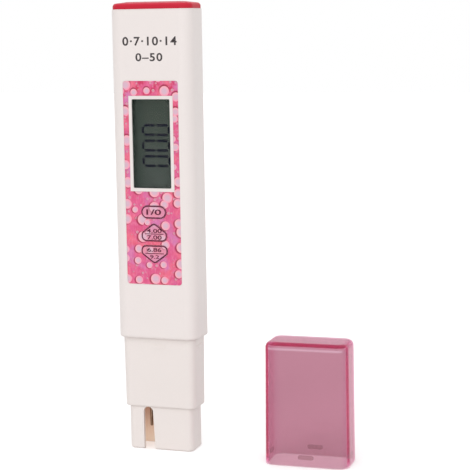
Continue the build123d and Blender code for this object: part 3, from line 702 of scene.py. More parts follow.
@dataclass(frozen=True)
class FrostedFinish(Finish):
    """Tinted see-through plastic of the cap, polished outside and duller inside. It is deeper along its
    edges, partly by absorption and partly by painted edge shade, and a painted highlight glows under its top
    edge.

    The index of refraction is low, so that light runs straight along the walls and deepens the edges there,
    and a coat gives the gloss that such an index loses.
    """

    name: str
    centre: Point
    turn: float
    outer: Triple
    wall: float
    tint: Colour = srgb(220, 204, 206)
    faded: float = 0.95
    clouds: Patches = Patches(0.07, 2.0, 0.3, 0.7, 0.06, 0.10)
    inner_fade: Point = (0.25, 0.15)
    inner_roughness: float = 0.14
    marks: float = 0.05
    depth_tint: Colour = srgb(243, 90, 190)
    density: float = 300.0
    # Painted edge shade: a deeper tint near the cap's edges, in place of light carried along the walls
    painted_edge_shade: Colour = srgb(219, 162, 198)
    edge_share: float = 0.3
    edge_span: Point = (2.6, 0.8)
    # Painted highlight: emission along the top edge, in place of a lamp's reflection
    painted_highlight: Colour = srgb(108, 116, 118)
    painted_highlight_foot: Point = (2.7, 2.0)
    painted_highlight_head: Point = (1.9, 1.5)
    painted_highlight_ends: Point = (2.2, 1.4)
    see_through: float = 0.97
    ior: float = 1.06
    coat: float = 0.5
    coat_roughness: float = 0.07
    ripples: Patches = Patches(0.5, 1.0)
    ripple_depth: float = 0.004

    def surface(self, wires: Wiring) -> Surface:
        """Lays the walls' insides, clouds, painted edge shade, painted highlight and depth."""
        place = wires.place(self.centre, self.turn)
        axes = wires.axes(place)
        away = [wires.maths("ABSOLUTE", axes[0]), wires.maths("ABSOLUTE", axes[1]), axes[2]]
        within, near = [], []
        for distance, reach in zip(away, self.outer):
            within.append(wires.fall(distance, *(reach - self.wall - fade for fade in self.inner_fade)))
            near.append(wires.step(distance, *(reach - span for span in self.edge_span)))
        # Mask for the painted edge shade near the cap's edges
        pairs = [wires.times(near[one], near[other]) for one, other in ((0, 1), (0, 2), (1, 2))]
        edge = reduce(lambda first, second: wires.maths("MAXIMUM", first, second), pairs)
        cloud = wires.noise(place, self.clouds)
        colour = wires.blend(cloud, self.tint, dimmed(self.tint, self.faded))
        marks = wires.group(handling_marks(), {"Vector": place, "Amount": self.marks})["Mask"]
        outside = wires.maths("ADD", wires.stretch(cloud, self.clouds), marks)
        inside = wires.times(*within, self.inner_roughness)
        absorb = wires.add("ShaderNodeVolumeAbsorption", {"Color": self.depth_tint, "Density": self.density})
        wires.feed(wires.tree.nodes["Material Output"].inputs["Volume"], absorb.outputs[0])
        return Surface({
            "Base Color": wires.blend(wires.times(edge, self.edge_share), colour, self.painted_edge_shade),
            "Roughness": wires.maths("ADD", outside, inside),
            "Emission Color": wires.blend(self.painted_highlight_line(wires, away, within[1]), BLACK, self.painted_highlight),
            "Emission Strength": 1.0, "Transmission Weight": self.see_through, "IOR": self.ior,
            "Coat Weight": self.coat, "Coat Roughness": self.coat_roughness,
        }, wires.noise(place, self.ripples), self.ripple_depth)

    def painted_highlight_line(self, wires: Wiring, away: Sequence[Socket], behind: Socket) -> Socket:
        """Masks the painted highlight, a line that glows under the rounded top edge of the front and the
        back.

        Args:
            wires: Wiring of the material.
            away: Distances from the cap's middle across and through it, and from its foot.
            behind: One inside the front and back walls, nothing on their faces.

        Returns:
            The mask.
        """
        top = self.outer[2]
        rise = wires.step(away[2], *(top - drop for drop in self.painted_highlight_foot))
        fall = wires.fall(away[2], *(top - drop for drop in self.painted_highlight_head))
        flat = wires.fall(away[0], *(self.outer[0] - end for end in self.painted_highlight_ends))
        return wires.times(rise, fall, flat, wires.maths("SUBTRACT", 1.0, behind))


@dataclass(frozen=True)
class MetalFinish(Finish):
    """Drawn or plated metal with fine lines and tarnish."""

    name: str
    tint: Colour
    tarnish: Colour
    lie: Lie = Lie.ALONG_Z
    roughness: float = 0.28
    tarnished: float = 0.35
    spots: Patches = Patches(0.35, 3.0, 0.45, 0.75)
    lines: Patches = Patches(7.0, 3.0, 0.25, 0.75)
    smoother: float = 0.08
    rougher: float = 0.12
    line_depth: float = 0.004

    def surface(self, wires: Wiring) -> Surface:
        """Lays the drawn lines and the tarnish."""
        place = wires.place()
        lines = wires.noise(wires.vector("MULTIPLY", place, self.lie.value), self.lines)
        spots = wires.times(wires.patch(place, self.spots), self.tarnished)
        rough = wires.step(lines, self.lines.start, self.lines.end, self.roughness - self.smoother,
                           self.roughness + self.rougher)
        return Surface({"Base Color": wires.blend(spots, self.tint, self.tarnish), "Roughness": rough,
                        "Metallic": 1.0}, lines, self.line_depth)


@dataclass(frozen=True)
class LaminateFinish(Finish):
    """Green circuit board with copper tracks under its mask."""

    name: str
    mask: Colour = srgb(22, 92, 52)
    track: Colour = srgb(58, 132, 78)
    edge: Colour = srgb(150, 140, 92)
    cell_scale: float = 0.45
    wander: float = 0.8
    tracks: float = 3.0
    track_span: Point = (0.12, 0.18)
    weave: Patches = Patches(5.0, 2.0, 0.3, 0.7, 0.26, 0.36)
    edge_span: Point = (0.4, 0.9)
    edge_share: float = 0.4
    depth: float = 0.02

    def surface(self, wires: Wiring) -> Surface:
        """Lays the tracks, which run along and across."""
        plane = wires.front_plane(wires.axes(wires.place()))
        cells = wires.add("ShaderNodeTexVoronoi", {
            "Vector": plane, "Scale": self.cell_scale, "Randomness": self.wander},
            voronoi_dimensions="2D", distance="MANHATTAN", feature="F1").outputs["Distance"]
        rings = wires.maths("FRACT", wires.times(cells, self.tracks))
        track = wires.fall(wires.maths("ABSOLUTE", wires.maths("SUBTRACT", rings, 0.5)), *self.track_span)
        weave = wires.noise(plane, self.weave)
        colour = wires.blend(track, self.mask, self.track)
        colour = wires.blend(wires.step(weave, *self.edge_span, 0.0, self.edge_share), colour, self.edge)
        return Surface({"Base Color": colour, "Roughness": wires.stretch(weave, self.weave)},
                       wires.maths("ADD", track, weave), self.depth)


@dataclass(frozen=True)
class PorousFinish(Finish):
    """Fired or cast stuff with pores or bubbles."""

    name: str
    tint: Colour
    pore: Colour
    pore_scale: float
    roughness: float
    pore_depth: float = 0.03
    pore_span: Point = (0.10, 0.26)
    pore_share: float = 0.7
    clouds: Patches = Patches(0.4, 3.0, 0.3, 0.7)
    cloud_share: float = 0.35
    smoother: float = 0.05
    rougher: float = 0.08

    def surface(self, wires: Wiring) -> Surface:
        """Lays the pores."""
        place = wires.place()
        cells = wires.add("ShaderNodeTexVoronoi", {"Vector": place, "Scale": self.pore_scale})
        pores = wires.fall(cells.outputs["Distance"], *self.pore_span)
        cloud = wires.noise(place, self.clouds)
        colour = wires.blend(wires.times(cloud, self.cloud_share), self.tint, self.pore)
        rough = wires.step(cloud, self.clouds.start, self.clouds.end, self.roughness - self.smoother,
                           self.roughness + self.rougher)
        return Surface({"Base Color": wires.blend(wires.times(pores, self.pore_share), colour, self.pore),
                        "Roughness": rough}, wires.maths("SUBTRACT", cloud, pores), self.pore_depth)


# Painted highlight for the head's top rim, and painted shade for the groove at its joint
RED_PAINTED_HIGHLIGHT = srgb(232, 74, 92)
RED_PAINTED_GROOVE_SHADE = srgb(150, 18, 38)
# Dust with painted shade for the seam bands at the collar, the housing's mouth, lower on the tip and at its
# foot
GRIME_AND_SHADE = srgb(196, 186, 180)

WHITE_SHELL = MouldedFinish("white_shell", srgb(239, 231, 228), roughness=0.40, depth=0.035, seams=(
    Seam(40.0, 1.2, 0.35, GRIME_AND_SHADE), Seam(152.1, 0.7, 0.30, GRIME_AND_SHADE)))
PROBE_SHELL = WellFinish("probe_shell", srgb(238, 230, 226), roughness=0.42, depth=0.035, seams=(
    Seam(40.0, 0.9, 0.35, GRIME_AND_SHADE), Seam(15.4, 0.9, 0.30, GRIME_AND_SHADE), Seam(0.0, 1.0, 0.25, GRIME_AND_SHADE)))
# The head carries a painted highlight along its top rim and painted shade in the groove at its joint with the
# housing
CRIMSON = MouldedFinish(
    "crimson_head", srgb(202, 40, 60), roughness=0.36, depth=0.08, marks=0.3, gloss=0.1,
    seams=(Seam(153.9, 0.7, 0.5, RED_PAINTED_HIGHLIGHT), Seam(152.1, 0.35, 0.5, RED_PAINTED_GROOVE_SHADE)))
FACE_PRINT = DropletPrint("face_print")
KEY_PRINT = DropletPrint("key_print", veil=0.45)
KEY_INK = InkFinish("key_ink", srgb(84, 20, 48), srgb(120, 40, 72))
SCALE_INK = InkFinish("scale_ink", srgb(58, 52, 54), srgb(84, 78, 78))
SEGMENT_INK = InkFinish("segment_ink", srgb(28, 28, 42), srgb(34, 34, 48), gloss=0.04)
PANEL = PanelFinish("panel_face")
WINDOW = ClearFinish("window_clear", srgb(246, 250, 247), ior=1.14, smear=0.06)
ELECTRODE_GLASS = ClearFinish("electrode_glass", srgb(232, 244, 240), ior=1.47, smear=0.03)
BLACK_MOULDING = MouldedFinish(
    "black_moulding", srgb(46, 46, 49), roughness=0.5, depth=0.16, grain_depth=0.012)
RUBBER = MouldedFinish(
    "seal_rubber", srgb(38, 38, 41), roughness=0.68, depth=0.22, grain_depth=0.02, marks=0.1)
STEEL = MetalFinish("bright_steel", srgb(198, 198, 200), srgb(150, 140, 128))
PIN_STEEL = MetalFinish("pin_steel", srgb(158, 134, 114), srgb(96, 72, 56), tarnished=0.6)
NICKEL = MetalFinish("cell_nickel", srgb(208, 206, 202), srgb(164, 158, 148), Lie.ALONG_X, 0.22, 0.25)
FOIL = MetalFinish("reflector_foil", srgb(196, 198, 198), srgb(168, 168, 166), Lie.ALONG_X, 0.34)
SILVER = MetalFinish("silver_wire", srgb(206, 202, 194), srgb(116, 104, 92), tarnished=0.8)
SOLDER = MetalFinish("solder", srgb(190, 192, 194), srgb(150, 150, 150), Lie.ALONG_X, 0.3)
BOARD = LaminateFinish("board_laminate")
CERAMIC = PorousFinish("fired_ceramic", srgb(206, 190, 160), srgb(150, 128, 98), 2.4, 0.72)
RESIN = PorousFinish("potting_resin", srgb(96, 70, 48), srgb(62, 42, 28), 0.5, 0.3, 0.05)
SLEEVE = MouldedFinish("lead_sleeve", srgb(176, 34, 34), roughness=0.45, depth=0.1, grain_depth=0.01)


def dress(worn: dict[Finish, Iterable[str]]) -> None:
    """Gives solids of the frame their finishes.

    Args:
        worn: Names of the solids that wear each finish.
    """
    for finish, nodes in worn.items():
        for name in nodes:
            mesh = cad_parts[name].data
            mesh.materials.clear()
            mesh.materials.append(finish.material())
            log.info("%s wears %s", name, finish.name)


def settle(piece: Piece, finish: Finish, body: str) -> None:
    """Dresses a finished piece, links it and lets it ride on its body.

    Args:
        piece: The piece, with its place in its mesh.
        finish: The finish that it wears.
        body: Name of the body that carries it.
    """
    piece.data.materials.clear()
    piece.data.materials.append(finish.material())
    if piece.name not in bpy.context.scene.collection.objects:
        bpy.context.scene.collection.objects.link(piece)
    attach(piece, body)
    log.info("%s rides on %s with %d faces", piece.name, body, len(piece.data.polygons))


def piece_of(name: str, made: bmesh.types.BMesh) -> Piece:
    """Turns a mesh in the making into an object with faces that point outwards."""
    bmesh.ops.recalc_face_normals(made, faces=made.faces)
    mesh = bpy.data.meshes.new(name)
    made.to_mesh(mesh)
    made.free()
    return bpy.data.objects.new(name, mesh)


def front_outline(node: str) -> list[Point]:
    """Finds the convex outline of a solid's front face from its corners.

    Args:
        node: Name of the solid.

    Returns:
        X and Z of the corners in millimetres, counterclockwise as seen from the front.
    """
    corners = [vertex.co * PER_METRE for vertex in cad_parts[node].data.vertices]
    front = min(corner.y for corner in corners) + FLATNESS
    spots = sorted({(round(c.x, PLACES), round(c.z, PLACES)) for c in corners if c.y < front})
    return [spots[index] for index in convex_hull_2d(spots)]


def inset(outline: Sequence[Point], amount: float) -> list[Point]:
    """Draws a closed outline in by the same amount all round.

    Args:
        outline: Corners, counterclockwise.
        amount: Distance, in the outline's own unit.

    Returns:
        As many corners.
    """
    drawn = []
    for before, here, after in zip([outline[-1], *outline[:-1]], outline, [*outline[1:], outline[0]]):
        sides = [Vector((-(end[1] - start[1]), end[0] - start[0])).normalized()
                 for start, end in ((before, here), (here, after))]
        shift = (sides[0] + sides[1]) * (amount / (1 + sides[0].dot(sides[1])))
        drawn.append((here[0] + shift.x, here[1] + shift.y))
    return drawn


@dataclass(frozen=True)
class Figures:
    """Plain numbers, and the X and Z of the corners of the rectangle that they fill, in millimetres."""

    text: str
    low: Point
    high: Point
    spacing: float = 1.0
    weight: float = 0.022
    steps: int = 6

    def outlined(self) -> bpy.types.Mesh:
        """Gives the numbers as a mesh that lies flat, in the letters' own unit."""
        curve = bpy.data.curves.new("figures", "FONT")
        curve.body = self.text
        curve.space_character = self.spacing
        curve.extrude = 0.5
        curve.offset = self.weight
        curve.resolution_u = self.steps
        holder = bpy.data.objects.new("figures", curve)
        bpy.context.scene.collection.objects.link(holder)
        graph = bpy.context.evaluated_depsgraph_get()
        mesh = bpy.data.meshes.new_from_object(holder.evaluated_get(graph))
        bpy.data.objects.remove(holder)
        return mesh


@dataclass(frozen=True)
class PrintBed:
    """A surface that faces -Y, by its Y, and how far the prints on it stand proud, both in millimetres."""

    front: float
    thickness: float

    def loop(self, made: bmesh.types.BMesh, outline: Sequence[Point], sunk: bool) -> list[bmesh.types.BMVert]:
        """Adds an outline's corners at the prints' faces, or at their feet, which are sunk in the surface."""
        y = self.front + PRINT_SINK if sunk else self.front - self.thickness
        return [made.verts.new((x * MM, y * MM, z * MM)) for x, z in outline]

    @staticmethod
    def wrap(made: bmesh.types.BMesh, first: Sequence[Any], second: Sequence[Any]) -> None:
        """Joins two closed loops of as many corners with faces."""
        for here, after in zip(range(len(first)), [*range(1, len(first)), 0]):
            made.faces.new((first[here], first[after], second[after], second[here]))

    def slab(self, name: str, outlines: Sequence[Sequence[Point]]) -> Piece:
        """Makes flat slabs from closed outlines.

        Args:
            name: Name of the piece.
            outlines: X and Z of the corners of each slab, counterclockwise as seen from the front.

        Returns:
            The piece.
        """
        made = bmesh.new()
        for outline in outlines:
            near, far = (self.loop(made, outline, sunk) for sunk in (False, True))
            made.faces.new(near)
            made.faces.new(far[::-1])
            self.wrap(made, near, far)
        return piece_of(name, made)

    def ring(self, name: str, outer: Sequence[Point], inner: Sequence[Point]) -> Piece:
        """Makes a flat band between two outlines of as many corners.

        Args:
            name: Name of the piece.
            outer: X and Z of the outer corners, counterclockwise as seen from the front.
            inner: X and Z of the inner corners.

        Returns:
            The piece.
        """
        made = bmesh.new()
        loops = [self.loop(made, outline, sunk)
                 for outline, sunk in ((outer, False), (inner, False), (inner, True), (outer, True))]
        for first, second in zip(loops, loops[1:] + loops[:1]):
            self.wrap(made, first, second)
        return piece_of(name, made)

    def numbers(self, name: str, figures: Figures) -> Piece:
        """Sets plain numbers into their rectangle.

        Args:
            name: Name of the piece.
            figures: The numbers.

        Returns:
            The piece.
        """
        mesh = figures.outlined()
        spots = [vertex.co for vertex in mesh.vertices]
        least, most = (Vector(end(spot[axis] for spot in spots) for axis in range(3)) for end in (min, max))
        span = most - least
        wide = (figures.high[0] - figures.low[0]) / span.x
        tall = (figures.high[1] - figures.low[1]) / span.y
        deep = (self.thickness + PRINT_SINK) / span.z
        for vertex in mesh.vertices:
            x, y, z = vertex.co - least
            place = (figures.low[0] + x * wide, self.front + PRINT_SINK - z * deep, figures.low[1] + y * tall)
            vertex.co = Vector(place) * MM
        made = bmesh.new()
        made.from_mesh(mesh)
        bpy.data.meshes.remove(mesh)
        bmesh.ops.remove_doubles(made, verts=made.verts, dist=WELD * MM)
        return piece_of(name, made)


@dataclass(frozen=True)
class GridRepeat:
    """Repeats one small shape in columns along X and rows along Z with Geometry Nodes."""

    columns: int
    rows: int
    column_pitch: float
    row_pitch: float
    jitter: float = 0.0
    seed: int = 3

    @staticmethod
    @cache
    def tree() -> Tree:
        """Builds the tree that every repeat shares.

        Returns:
            The tree, with named inputs for its counts, pitches, jitter, seed and finish.
        """
        group = SharedGroup(
            "grid_repeat",
            {SocketKind.GEOMETRY: ["Geometry"], SocketKind.INT: ["Columns", "Rows", "Seed"],
             SocketKind.FLOAT: ["Column Pitch", "Row Pitch", "Jitter"], SocketKind.MATERIAL: ["Finish"]},
            {SocketKind.GEOMETRY: ["Geometry"]}, "GeometryNodeTree")
        given = group.given

        def line(count: str, pitch: str, axis: int) -> Socket:
            reach = group.times(group.maths("SUBTRACT", given[count], 1.0), given[pitch])
            start, step = (group.add("ShaderNodeCombineXYZ", {axis: value}).outputs[0]
                           for value in (group.times(reach, -0.5), given[pitch]))
            inputs = {"Count": given[count], "Start Location": start, "Offset": step}
            return group.add("GeometryNodeMeshLine", inputs, mode="OFFSET").outputs[0]

        def on_points(inputs: dict[str, Any]) -> Socket:
            placed = group.add("GeometryNodeInstanceOnPoints", inputs).outputs[0]
            return group.add("GeometryNodeRealizeInstances", {0: placed}).outputs[0]

        columns, rows = line("Columns", "Column Pitch", 0), line("Rows", "Row Pitch", 2)
        spots = on_points({"Points": columns, "Instance": rows})
        least, most = (group.maths(way, 1.0, given["Jitter"]) for way in ("SUBTRACT", "ADD"))
        sizes = {2: least, 3: most, "Seed": given["Seed"]}
        luck = group.add("FunctionNodeRandomValue", sizes, data_type="FLOAT")
        real = on_points({"Points": spots, "Instance": given["Geometry"], "Scale": luck.outputs[1]})
        finished = {"Geometry": real, "Material": given["Finish"]}
        group.give("Geometry", group.add("GeometryNodeSetMaterial", finished).outputs[0])
        return group.tree

    def lay(self, shape: Piece, centre: Sequence[float], finish: Finish) -> Piece:
        """Repeats a shape that is modelled round the origin, and moves the result to its place.

        Args:
            shape: The shape, which becomes the finished piece.
            centre: Middle of the grid, in millimetres.
            finish: The finish that the shapes wear.

        Returns:
            The piece, as a plain mesh.
        """
        bpy.context.scene.collection.objects.link(shape)
        modifier = shape.modifiers.new("repeat", "NODES")
        modifier.node_group = self.tree()
        values = {"Columns": self.columns, "Rows": self.rows, "Column Pitch": self.column_pitch * MM,
                  "Row Pitch": self.row_pitch * MM, "Jitter": self.jitter, "Seed": self.seed,
                  "Finish": finish.material()}
        for item in self.tree().interface.items_tree:
            if item.in_out == "INPUT" and item.name in values:
                modifier[item.identifier] = values[item.name]
        graph = bpy.context.evaluated_depsgraph_get()
        mesh = bpy.data.meshes.new_from_object(shape.evaluated_get(graph))
        shape.modifiers.clear()
        shape.data = mesh
        mesh.transform(Matrix.Translation(Vector(centre) * MM))
        return shape


@dataclass(frozen=True)
class Lamp:
    """A distant lamp: its strength, how wide it looks from the pen in degrees, and where it shines from."""

    name: str
    level: float
    softness: float
    source: Triple

    def build(self) -> None:
        """Adds the lamp."""
        data = bpy.data.lights.new(self.name, "SUN")
        data.energy = self.level
        data.angle = math.radians(self.softness)
        light = bpy.data.objects.new(self.name, data)
        light.rotation_euler = Vector(self.source).to_track_quat("Z", "Y").to_euler()
        bpy.context.scene.collection.objects.link(light)


@dataclass
class Studio:
    """Camera, lights, floor and the white room round the pen."""

    lens: float = 114.2
    sensor: float = 36.0
    clip: Point = (0.01, 20.0)
    eye: Triple = (185.05, -474.97, 147.21)
    yaw: float = 18.448
    pitch: float = 8.119
    roll: float = -0.909
    room_level: float = 0.72
    seen_level: float = 1.0
    key: Lamp = Lamp("key_light", 0.86, 70.0, (0.22, -0.85, 0.46))
    top: Lamp = Lamp("top_light", 0.16, 9.0, (-0.10, -0.57, 0.82))
    floor_reach: float = 2.5
    floor_tint: Colour = srgb(236, 234, 234)
    floor_dimmed: float = 0.99
    floor_clouds: Patches = Patches(0.01, 2.0)
    floor_roughness: float = 0.9
    floor_glow: float = 0.42

    def build(self) -> None:
        """Makes everything that isn't part of the pen."""
        self.camera()
        self.room()
        self.key.build()
        self.top.build()
        self.floor()

    def camera(self) -> None:
        """Stands the camera where the pen was seen from."""
        data = bpy.data.cameras.new("camera")
        data.lens = self.lens
        data.sensor_width = self.sensor
        data.clip_start, data.clip_end = self.clip
        camera = bpy.data.objects.new("camera", data)
        place = Matrix.Translation(Vector(self.eye) * MM)
        for angle, axis in ((self.yaw, "Z"), (90 - self.pitch, "X"), (self.roll, "Z")):
            place = place @ Matrix.Rotation(math.radians(angle), 4, axis)
        camera.matrix_world = place
        bpy.context.scene.collection.objects.link(camera)
        bpy.context.scene.camera = camera

    @staticmethod
    def seen(wires: Wiring) -> Socket:
        """Gives one for rays that come from the camera or by way of a mirror or glass."""
        path = wires.add("ShaderNodeLightPath").outputs
        direct = wires.maths("MAXIMUM", path["Is Camera Ray"], path["Is Glossy Ray"])
        return wires.maths("MAXIMUM", direct, path["Is Transmission Ray"])

    def room(self) -> None:
        """Fills the room with even light, and shows it white."""
        world = bpy.data.worlds.new("room")
        world.use_nodes = True
        bpy.context.scene.world = world
        wires = Wiring(world.node_tree)
        background = world.node_tree.nodes["Background"]
        background.inputs["Color"].default_value = WHITE
        levels = {"Value": self.seen(wires), "To Min": self.room_level, "To Max": self.seen_level}
        wires.feed(background.inputs["Strength"], wires.add("ShaderNodeMapRange", levels).outputs["Result"])

    def floor(self) -> None:
        """Lays a pale floor that keeps the pen's shadow."""
        made = bmesh.new()
        bmesh.ops.create_grid(made, x_segments=1, y_segments=1, size=self.floor_reach)
        floor = piece_of("floor", made)
        material = bpy.data.materials.new("floor")
        material.use_nodes = True
        wires = Wiring(material.node_tree)
        cloud = wires.noise(wires.place(), self.floor_clouds)
        sockets = {
            "Base Color": wires.blend(cloud, self.floor_tint, dimmed(self.floor_tint, self.floor_dimmed)),
            "Roughness": self.floor_roughness, "Specular IOR Level": 0.0, "Emission Color": WHITE,
            "Emission Strength": wires.times(self.seen(wires), self.floor_glow)}
        for socket, value in sockets.items():
            wires.feed(material.node_tree.nodes["Principled BSDF"].inputs[socket], value)
        floor.data.materials.append(material)
        bpy.context.scene.collection.objects.link(floor)


@dataclass
class Casing:
    """White housing with the plain numbers printed above its face sheet."""

    upper: Figures = Figures("0·7·10·14", (-9.6, 139.95), (9.85, 142.92), 1.15)
    lower: Figures = Figures("0–50", (-5.0, 134.74), (4.65, 137.49), 1.15)
    ink_thickness: float = 0.015

    def build(self) -> None:
        """Dresses the housing and prints its numbers."""
        dress({WHITE_SHELL: ["housing"]})
        bed = PrintBed(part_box("housing")[0].y * PER_METRE, self.ink_thickness)
        for name, figures in (("upper_numbers", self.upper), ("lower_numbers", self.lower)):
            settle(bed.numbers(name, figures), SCALE_INK, "pen")


@dataclass
class KeyLegend:
    """What is printed on one key: its numbers, and where a line between them starts, ends and lies."""

    node: str
    body: str
    figures: tuple[Figures, ...]
    divider: Triple | None = None


@dataclass
class FacePanel:
    """Printed face sheet and its three outlined keys."""

    line_width: float = 0.42
    line_inset: float = 0.02
    divider_width: float = 0.28
    ink_thickness: float = 0.015
    legends: tuple[KeyLegend, ...] = (
        KeyLegend("power_key", "power_button", (Figures("1/0", (-2.4, 82.95), (3.0, 84.85)),)),
        KeyLegend("hold_key", "hold_button", (
            Figures("4.00", (-2.45, 76.8), (3.05, 78.2)), Figures("7.00", (-2.3, 74.5), (3.0, 76.0))),
            (-3.1, 3.7, 76.42)),
        KeyLegend("mode_key", "mode_button", (
            Figures("6.86", (-2.4, 70.25), (2.8, 71.7)), Figures("9.2", (-1.4, 67.9), (1.9, 69.2))),
            (-3.1, 3.7, 69.7)),
    )

    def build(self) -> None:
        """Dresses the sheet and draws each key's outline and numbers."""
        dress({FACE_PRINT: ["face_sheet"], KEY_PRINT: [legend.node for legend in self.legends]})
        for legend in self.legends:
            self.draw(legend)

    def draw(self, legend: KeyLegend) -> None:
        """Prints one key.

        Args:
            legend: What the key carries.
        """
        bed = PrintBed(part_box(legend.node)[0].y * PER_METRE, self.ink_thickness)
        edge = front_outline(legend.node)
        outer = inset(edge, self.line_inset)
        inner = inset(edge, self.line_inset + self.line_width)
        prints = [bed.ring(f"{legend.node}_outline", outer, inner)]
        for number, figures in enumerate(legend.figures):
            prints.append(bed.numbers(f"{legend.node}_numbers_{number}", figures))
        if legend.divider:
            left, right, level = legend.divider
            low, high = level - self.divider_width / 2, level + self.divider_width / 2
            corners = [(left, low), (right, low), (right, high), (left, high)]
            prints.append(bed.slab(f"{legend.node}_divider", [corners]))
        for piece in prints:
            settle(piece, KEY_INK, legend.body)


@dataclass
class Display:
    """Liquid crystal panel with three zeros, behind its clear window."""

    digits: int = 3
    digit_pitch: float = 5.25
    digit_middle: float = 106.35
    digit_left: float = -4.25
    digit_right: float = 6.15
    bar_spread: float = 3.24
    bar_width: float = 0.95
    bar_gap: float = 0.5
    bar_point: float = 0.45
    bar_drop: float = 0.45
    thickness: float = 0.03

    def build(self) -> None:
        """Dresses the panel's solids and lays its digits."""
        dress({WINDOW: ["display_lens"], PANEL: ["lcd_glass"], FOIL: ["lcd_reflector"],
               BLACK_MOULDING: ["lcd_holder"], RUBBER: ["zebra_strip"]})
        zero = PrintBed(0.0, self.thickness).slab("display_digits", self.zero())
        rows = GridRepeat(1, self.digits, 0.0, self.digit_pitch)
        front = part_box("lcd_glass")[0].y * PER_METRE
        middle = ((self.digit_left + self.digit_right) / 2, front, self.digit_middle)
        settle(rows.lay(zero, middle, SEGMENT_INK), SEGMENT_INK, "pen")

    def zero(self) -> list[list[Point]]:
        """Outlines the six bars of a zero that lies on its side, about its middle.

        Returns:
            Corners of each bar.
        """
        half_long = (self.digit_right - self.digit_left) / 2
        half_tall = self.bar_spread / 2
        bars = []
        for side in (-1, 1):
            for start, end in ((-half_long, 0.0), (0.0, half_long)):
                near = start + (self.bar_width if start < 0 else self.bar_gap / 2)
                far = end - (self.bar_gap / 2 if end == 0 else self.bar_width)
                bars.append(self.bar((near, side * half_tall), (far, side * half_tall)))
        reach = half_tall - self.bar_width * self.bar_drop
        for end in (-half_long + self.bar_width / 2, half_long - self.bar_width / 2):
            bars.append(self.bar((end, -reach), (end, reach)))
        return bars

    def bar(self, start: Point, end: Point) -> list[Point]:
        """Outlines one bar with pointed ends.

        Args:
            start: One end of the bar.
            end: The other end.

        Returns:
            Six corners, counterclockwise.
        """
        across = Vector((start[1] - end[1], end[0] - start[0])).normalized() * (self.bar_width / 2)
        along = Vector((across.y, -across.x)) * self.bar_point
        first, last = Vector(start), Vector(end)
        corners = (first, first + along - across, last - along - across, last, last - along + across,
                   first + along + across)
        return [(corner.x, corner.y) for corner in corners]


@dataclass
class ProbeTip:
    """Cap seat and slotted shroud with the electrodes inside."""

    def build(self) -> None:
        """Dresses the solids of the tip."""
        dress({PROBE_SHELL: ["probe_body"], RUBBER: ["probe_seal", "glass_stopper"],
               PIN_STEEL: ["conductivity_pins"], STEEL: ["temperature_sheath"],
               ELECTRODE_GLASS: ["glass_electrode"], SILVER: ["silver_wire"], CERAMIC: ["reference_junction"],
               BLACK_MOULDING: ["thermistor"], RESIN: ["potting"], SLEEVE: ["sensor_leads"]})


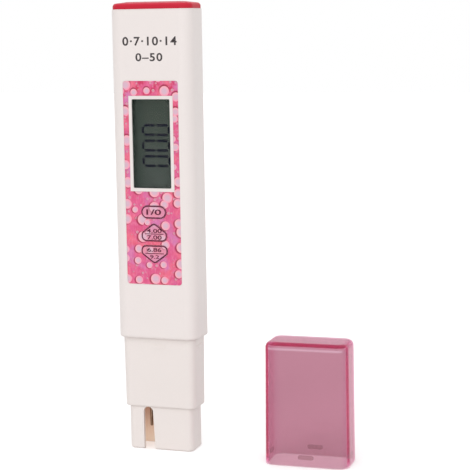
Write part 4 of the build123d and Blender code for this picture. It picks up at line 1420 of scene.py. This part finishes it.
@dataclass
class Circuit:
    """Board with its chips, switches, crystal and battery leaves."""

    passive_ends: GridRepeat = GridRepeat(2, 4, 4.0, 4.0, 0.02)
    passive_length: float = 2.0
    passive_width: float = 1.25
    end_length: float = 0.46
    end_inset: float = 0.2
    end_proud: float = 0.06
    end_bevel: float = 0.05
    bevel_steps: int = 2
    vias: GridRepeat = GridRepeat(5, 9, 4.2, 3.1, 0.12, 11)
    via_level: float = 107.0
    via_foot: float = 0.32
    via_head: float = 0.18
    via_rise: float = 0.12
    via_sides: int = 12

    def build(self) -> None:
        """Dresses the board's solids and adds what is soldered and plated on it."""
        dress({BOARD: ["main_board"], CERAMIC: ["board_passives"],
               BLACK_MOULDING: ["controller_chip", "amplifier_chip", "switch_bodies", "power_switch_stem",
                                "hold_switch_stem", "mode_switch_stem"],
               NICKEL: ["clock_crystal", "left_contact", "right_contact", "snap_domes"]})
        self.cap_passives()
        self.dot_vias()

    def cap_passives(self) -> None:
        """Caps the ends of the small chip parts with solder."""
        low, high = (corner * PER_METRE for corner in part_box("board_passives"))
        size = (self.end_length, high.y - low.y + self.end_proud, self.passive_width + self.end_proud)
        made = bmesh.new()
        for side in (-1, 1):
            middle = Vector((side * (self.passive_length / 2 - self.end_inset), 0.0, 0.0))
            place = Matrix.Translation(middle * MM) @ Matrix.Diagonal((*(Vector(size) * MM), 1.0))
            bmesh.ops.create_cube(made, size=1.0, matrix=place)
        bmesh.ops.bevel(made, geom=made.edges, offset=self.end_bevel * MM, segments=self.bevel_steps,
                        affect="EDGES", profile=0.5)
        centre = (low + high) / 2 + Vector((0.0, self.end_proud / 2, 0.0))
        ends = self.passive_ends.lay(piece_of("passive_ends", made), centre, SOLDER)
        settle(ends, SOLDER, "pen")

    def dot_vias(self) -> None:
        """Dots the back of the board with solder over its plated holes."""
        made = bmesh.new()
        bmesh.ops.create_cone(
            made, cap_ends=True, segments=self.via_sides, radius1=self.via_foot * MM,
            radius2=self.via_head * MM, depth=self.via_rise * MM,
            matrix=Matrix.Rotation(math.radians(90), 4, "X"))
        centre = (0.0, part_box("main_board")[1].y * PER_METRE, self.via_level)
        settle(self.vias.lay(piece_of("board_vias", made), centre, SOLDER), SOLDER, "pen")


@dataclass
class BatteryDrawer:
    """Crimson head with the carrier and the two button cells."""

    mark_arm: float = 3.4
    mark_width: float = 0.8
    mark_thickness: float = 0.04

    def build(self) -> None:
        """Dresses the drawer's solids and marks the pole of its right cell."""
        dress({CRIMSON: ["battery_cap"], RUBBER: ["drawer_gasket"], BLACK_MOULDING: ["battery_carrier"],
               STEEL: ["cell_bridge"], NICKEL: ["left_cell", "right_cell"]})
        low, high = (corner * PER_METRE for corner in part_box("right_cell"))
        middle = (low + high) / 2
        arm, half = self.mark_arm / 2, self.mark_width / 2
        cross = [(-arm, -half), (-half, -half), (-half, -arm), (half, -arm), (half, -half), (arm, -half),
                 (arm, half), (half, half), (half, arm), (-half, arm), (-half, half), (-arm, half)]
        corners = [(middle.x + x, middle.z + z) for x, z in cross]
        mark = PrintBed(low.y, self.mark_thickness).slab("pole_mark", [corners])
        settle(mark, STEEL, "battery_drawer")


@dataclass
class ProtectiveCap:
    """Translucent cap that stands on its rim beside the pen."""

    centre: Point = (53.7, -4.4)
    turn: float = 1.65
    half_width: float = 14.4
    half_depth: float = 7.65
    height: float = 41.8
    wall: float = 1.05

    def build(self) -> None:
        """Dresses the cap."""
        outer = (self.half_width, self.half_depth, self.height)
        dress({FrostedFinish("frosted_pink", self.centre, self.turn, outer, self.wall): ["protective_cap"]})


def main() -> None:
    """Builds the scene in order, and logs each finish given and the faces of each piece added."""
    logging.basicConfig(level=logging.INFO, format="%(name)s %(message)s")
    bpy.context.scene.view_settings.view_transform = "Standard"
    for part in (Studio(), Casing(), FacePanel(), Display(), ProbeTip(), Circuit(), BatteryDrawer(),
                 ProtectiveCap()):
        part.build()


if __name__ == "__main__":
    main()
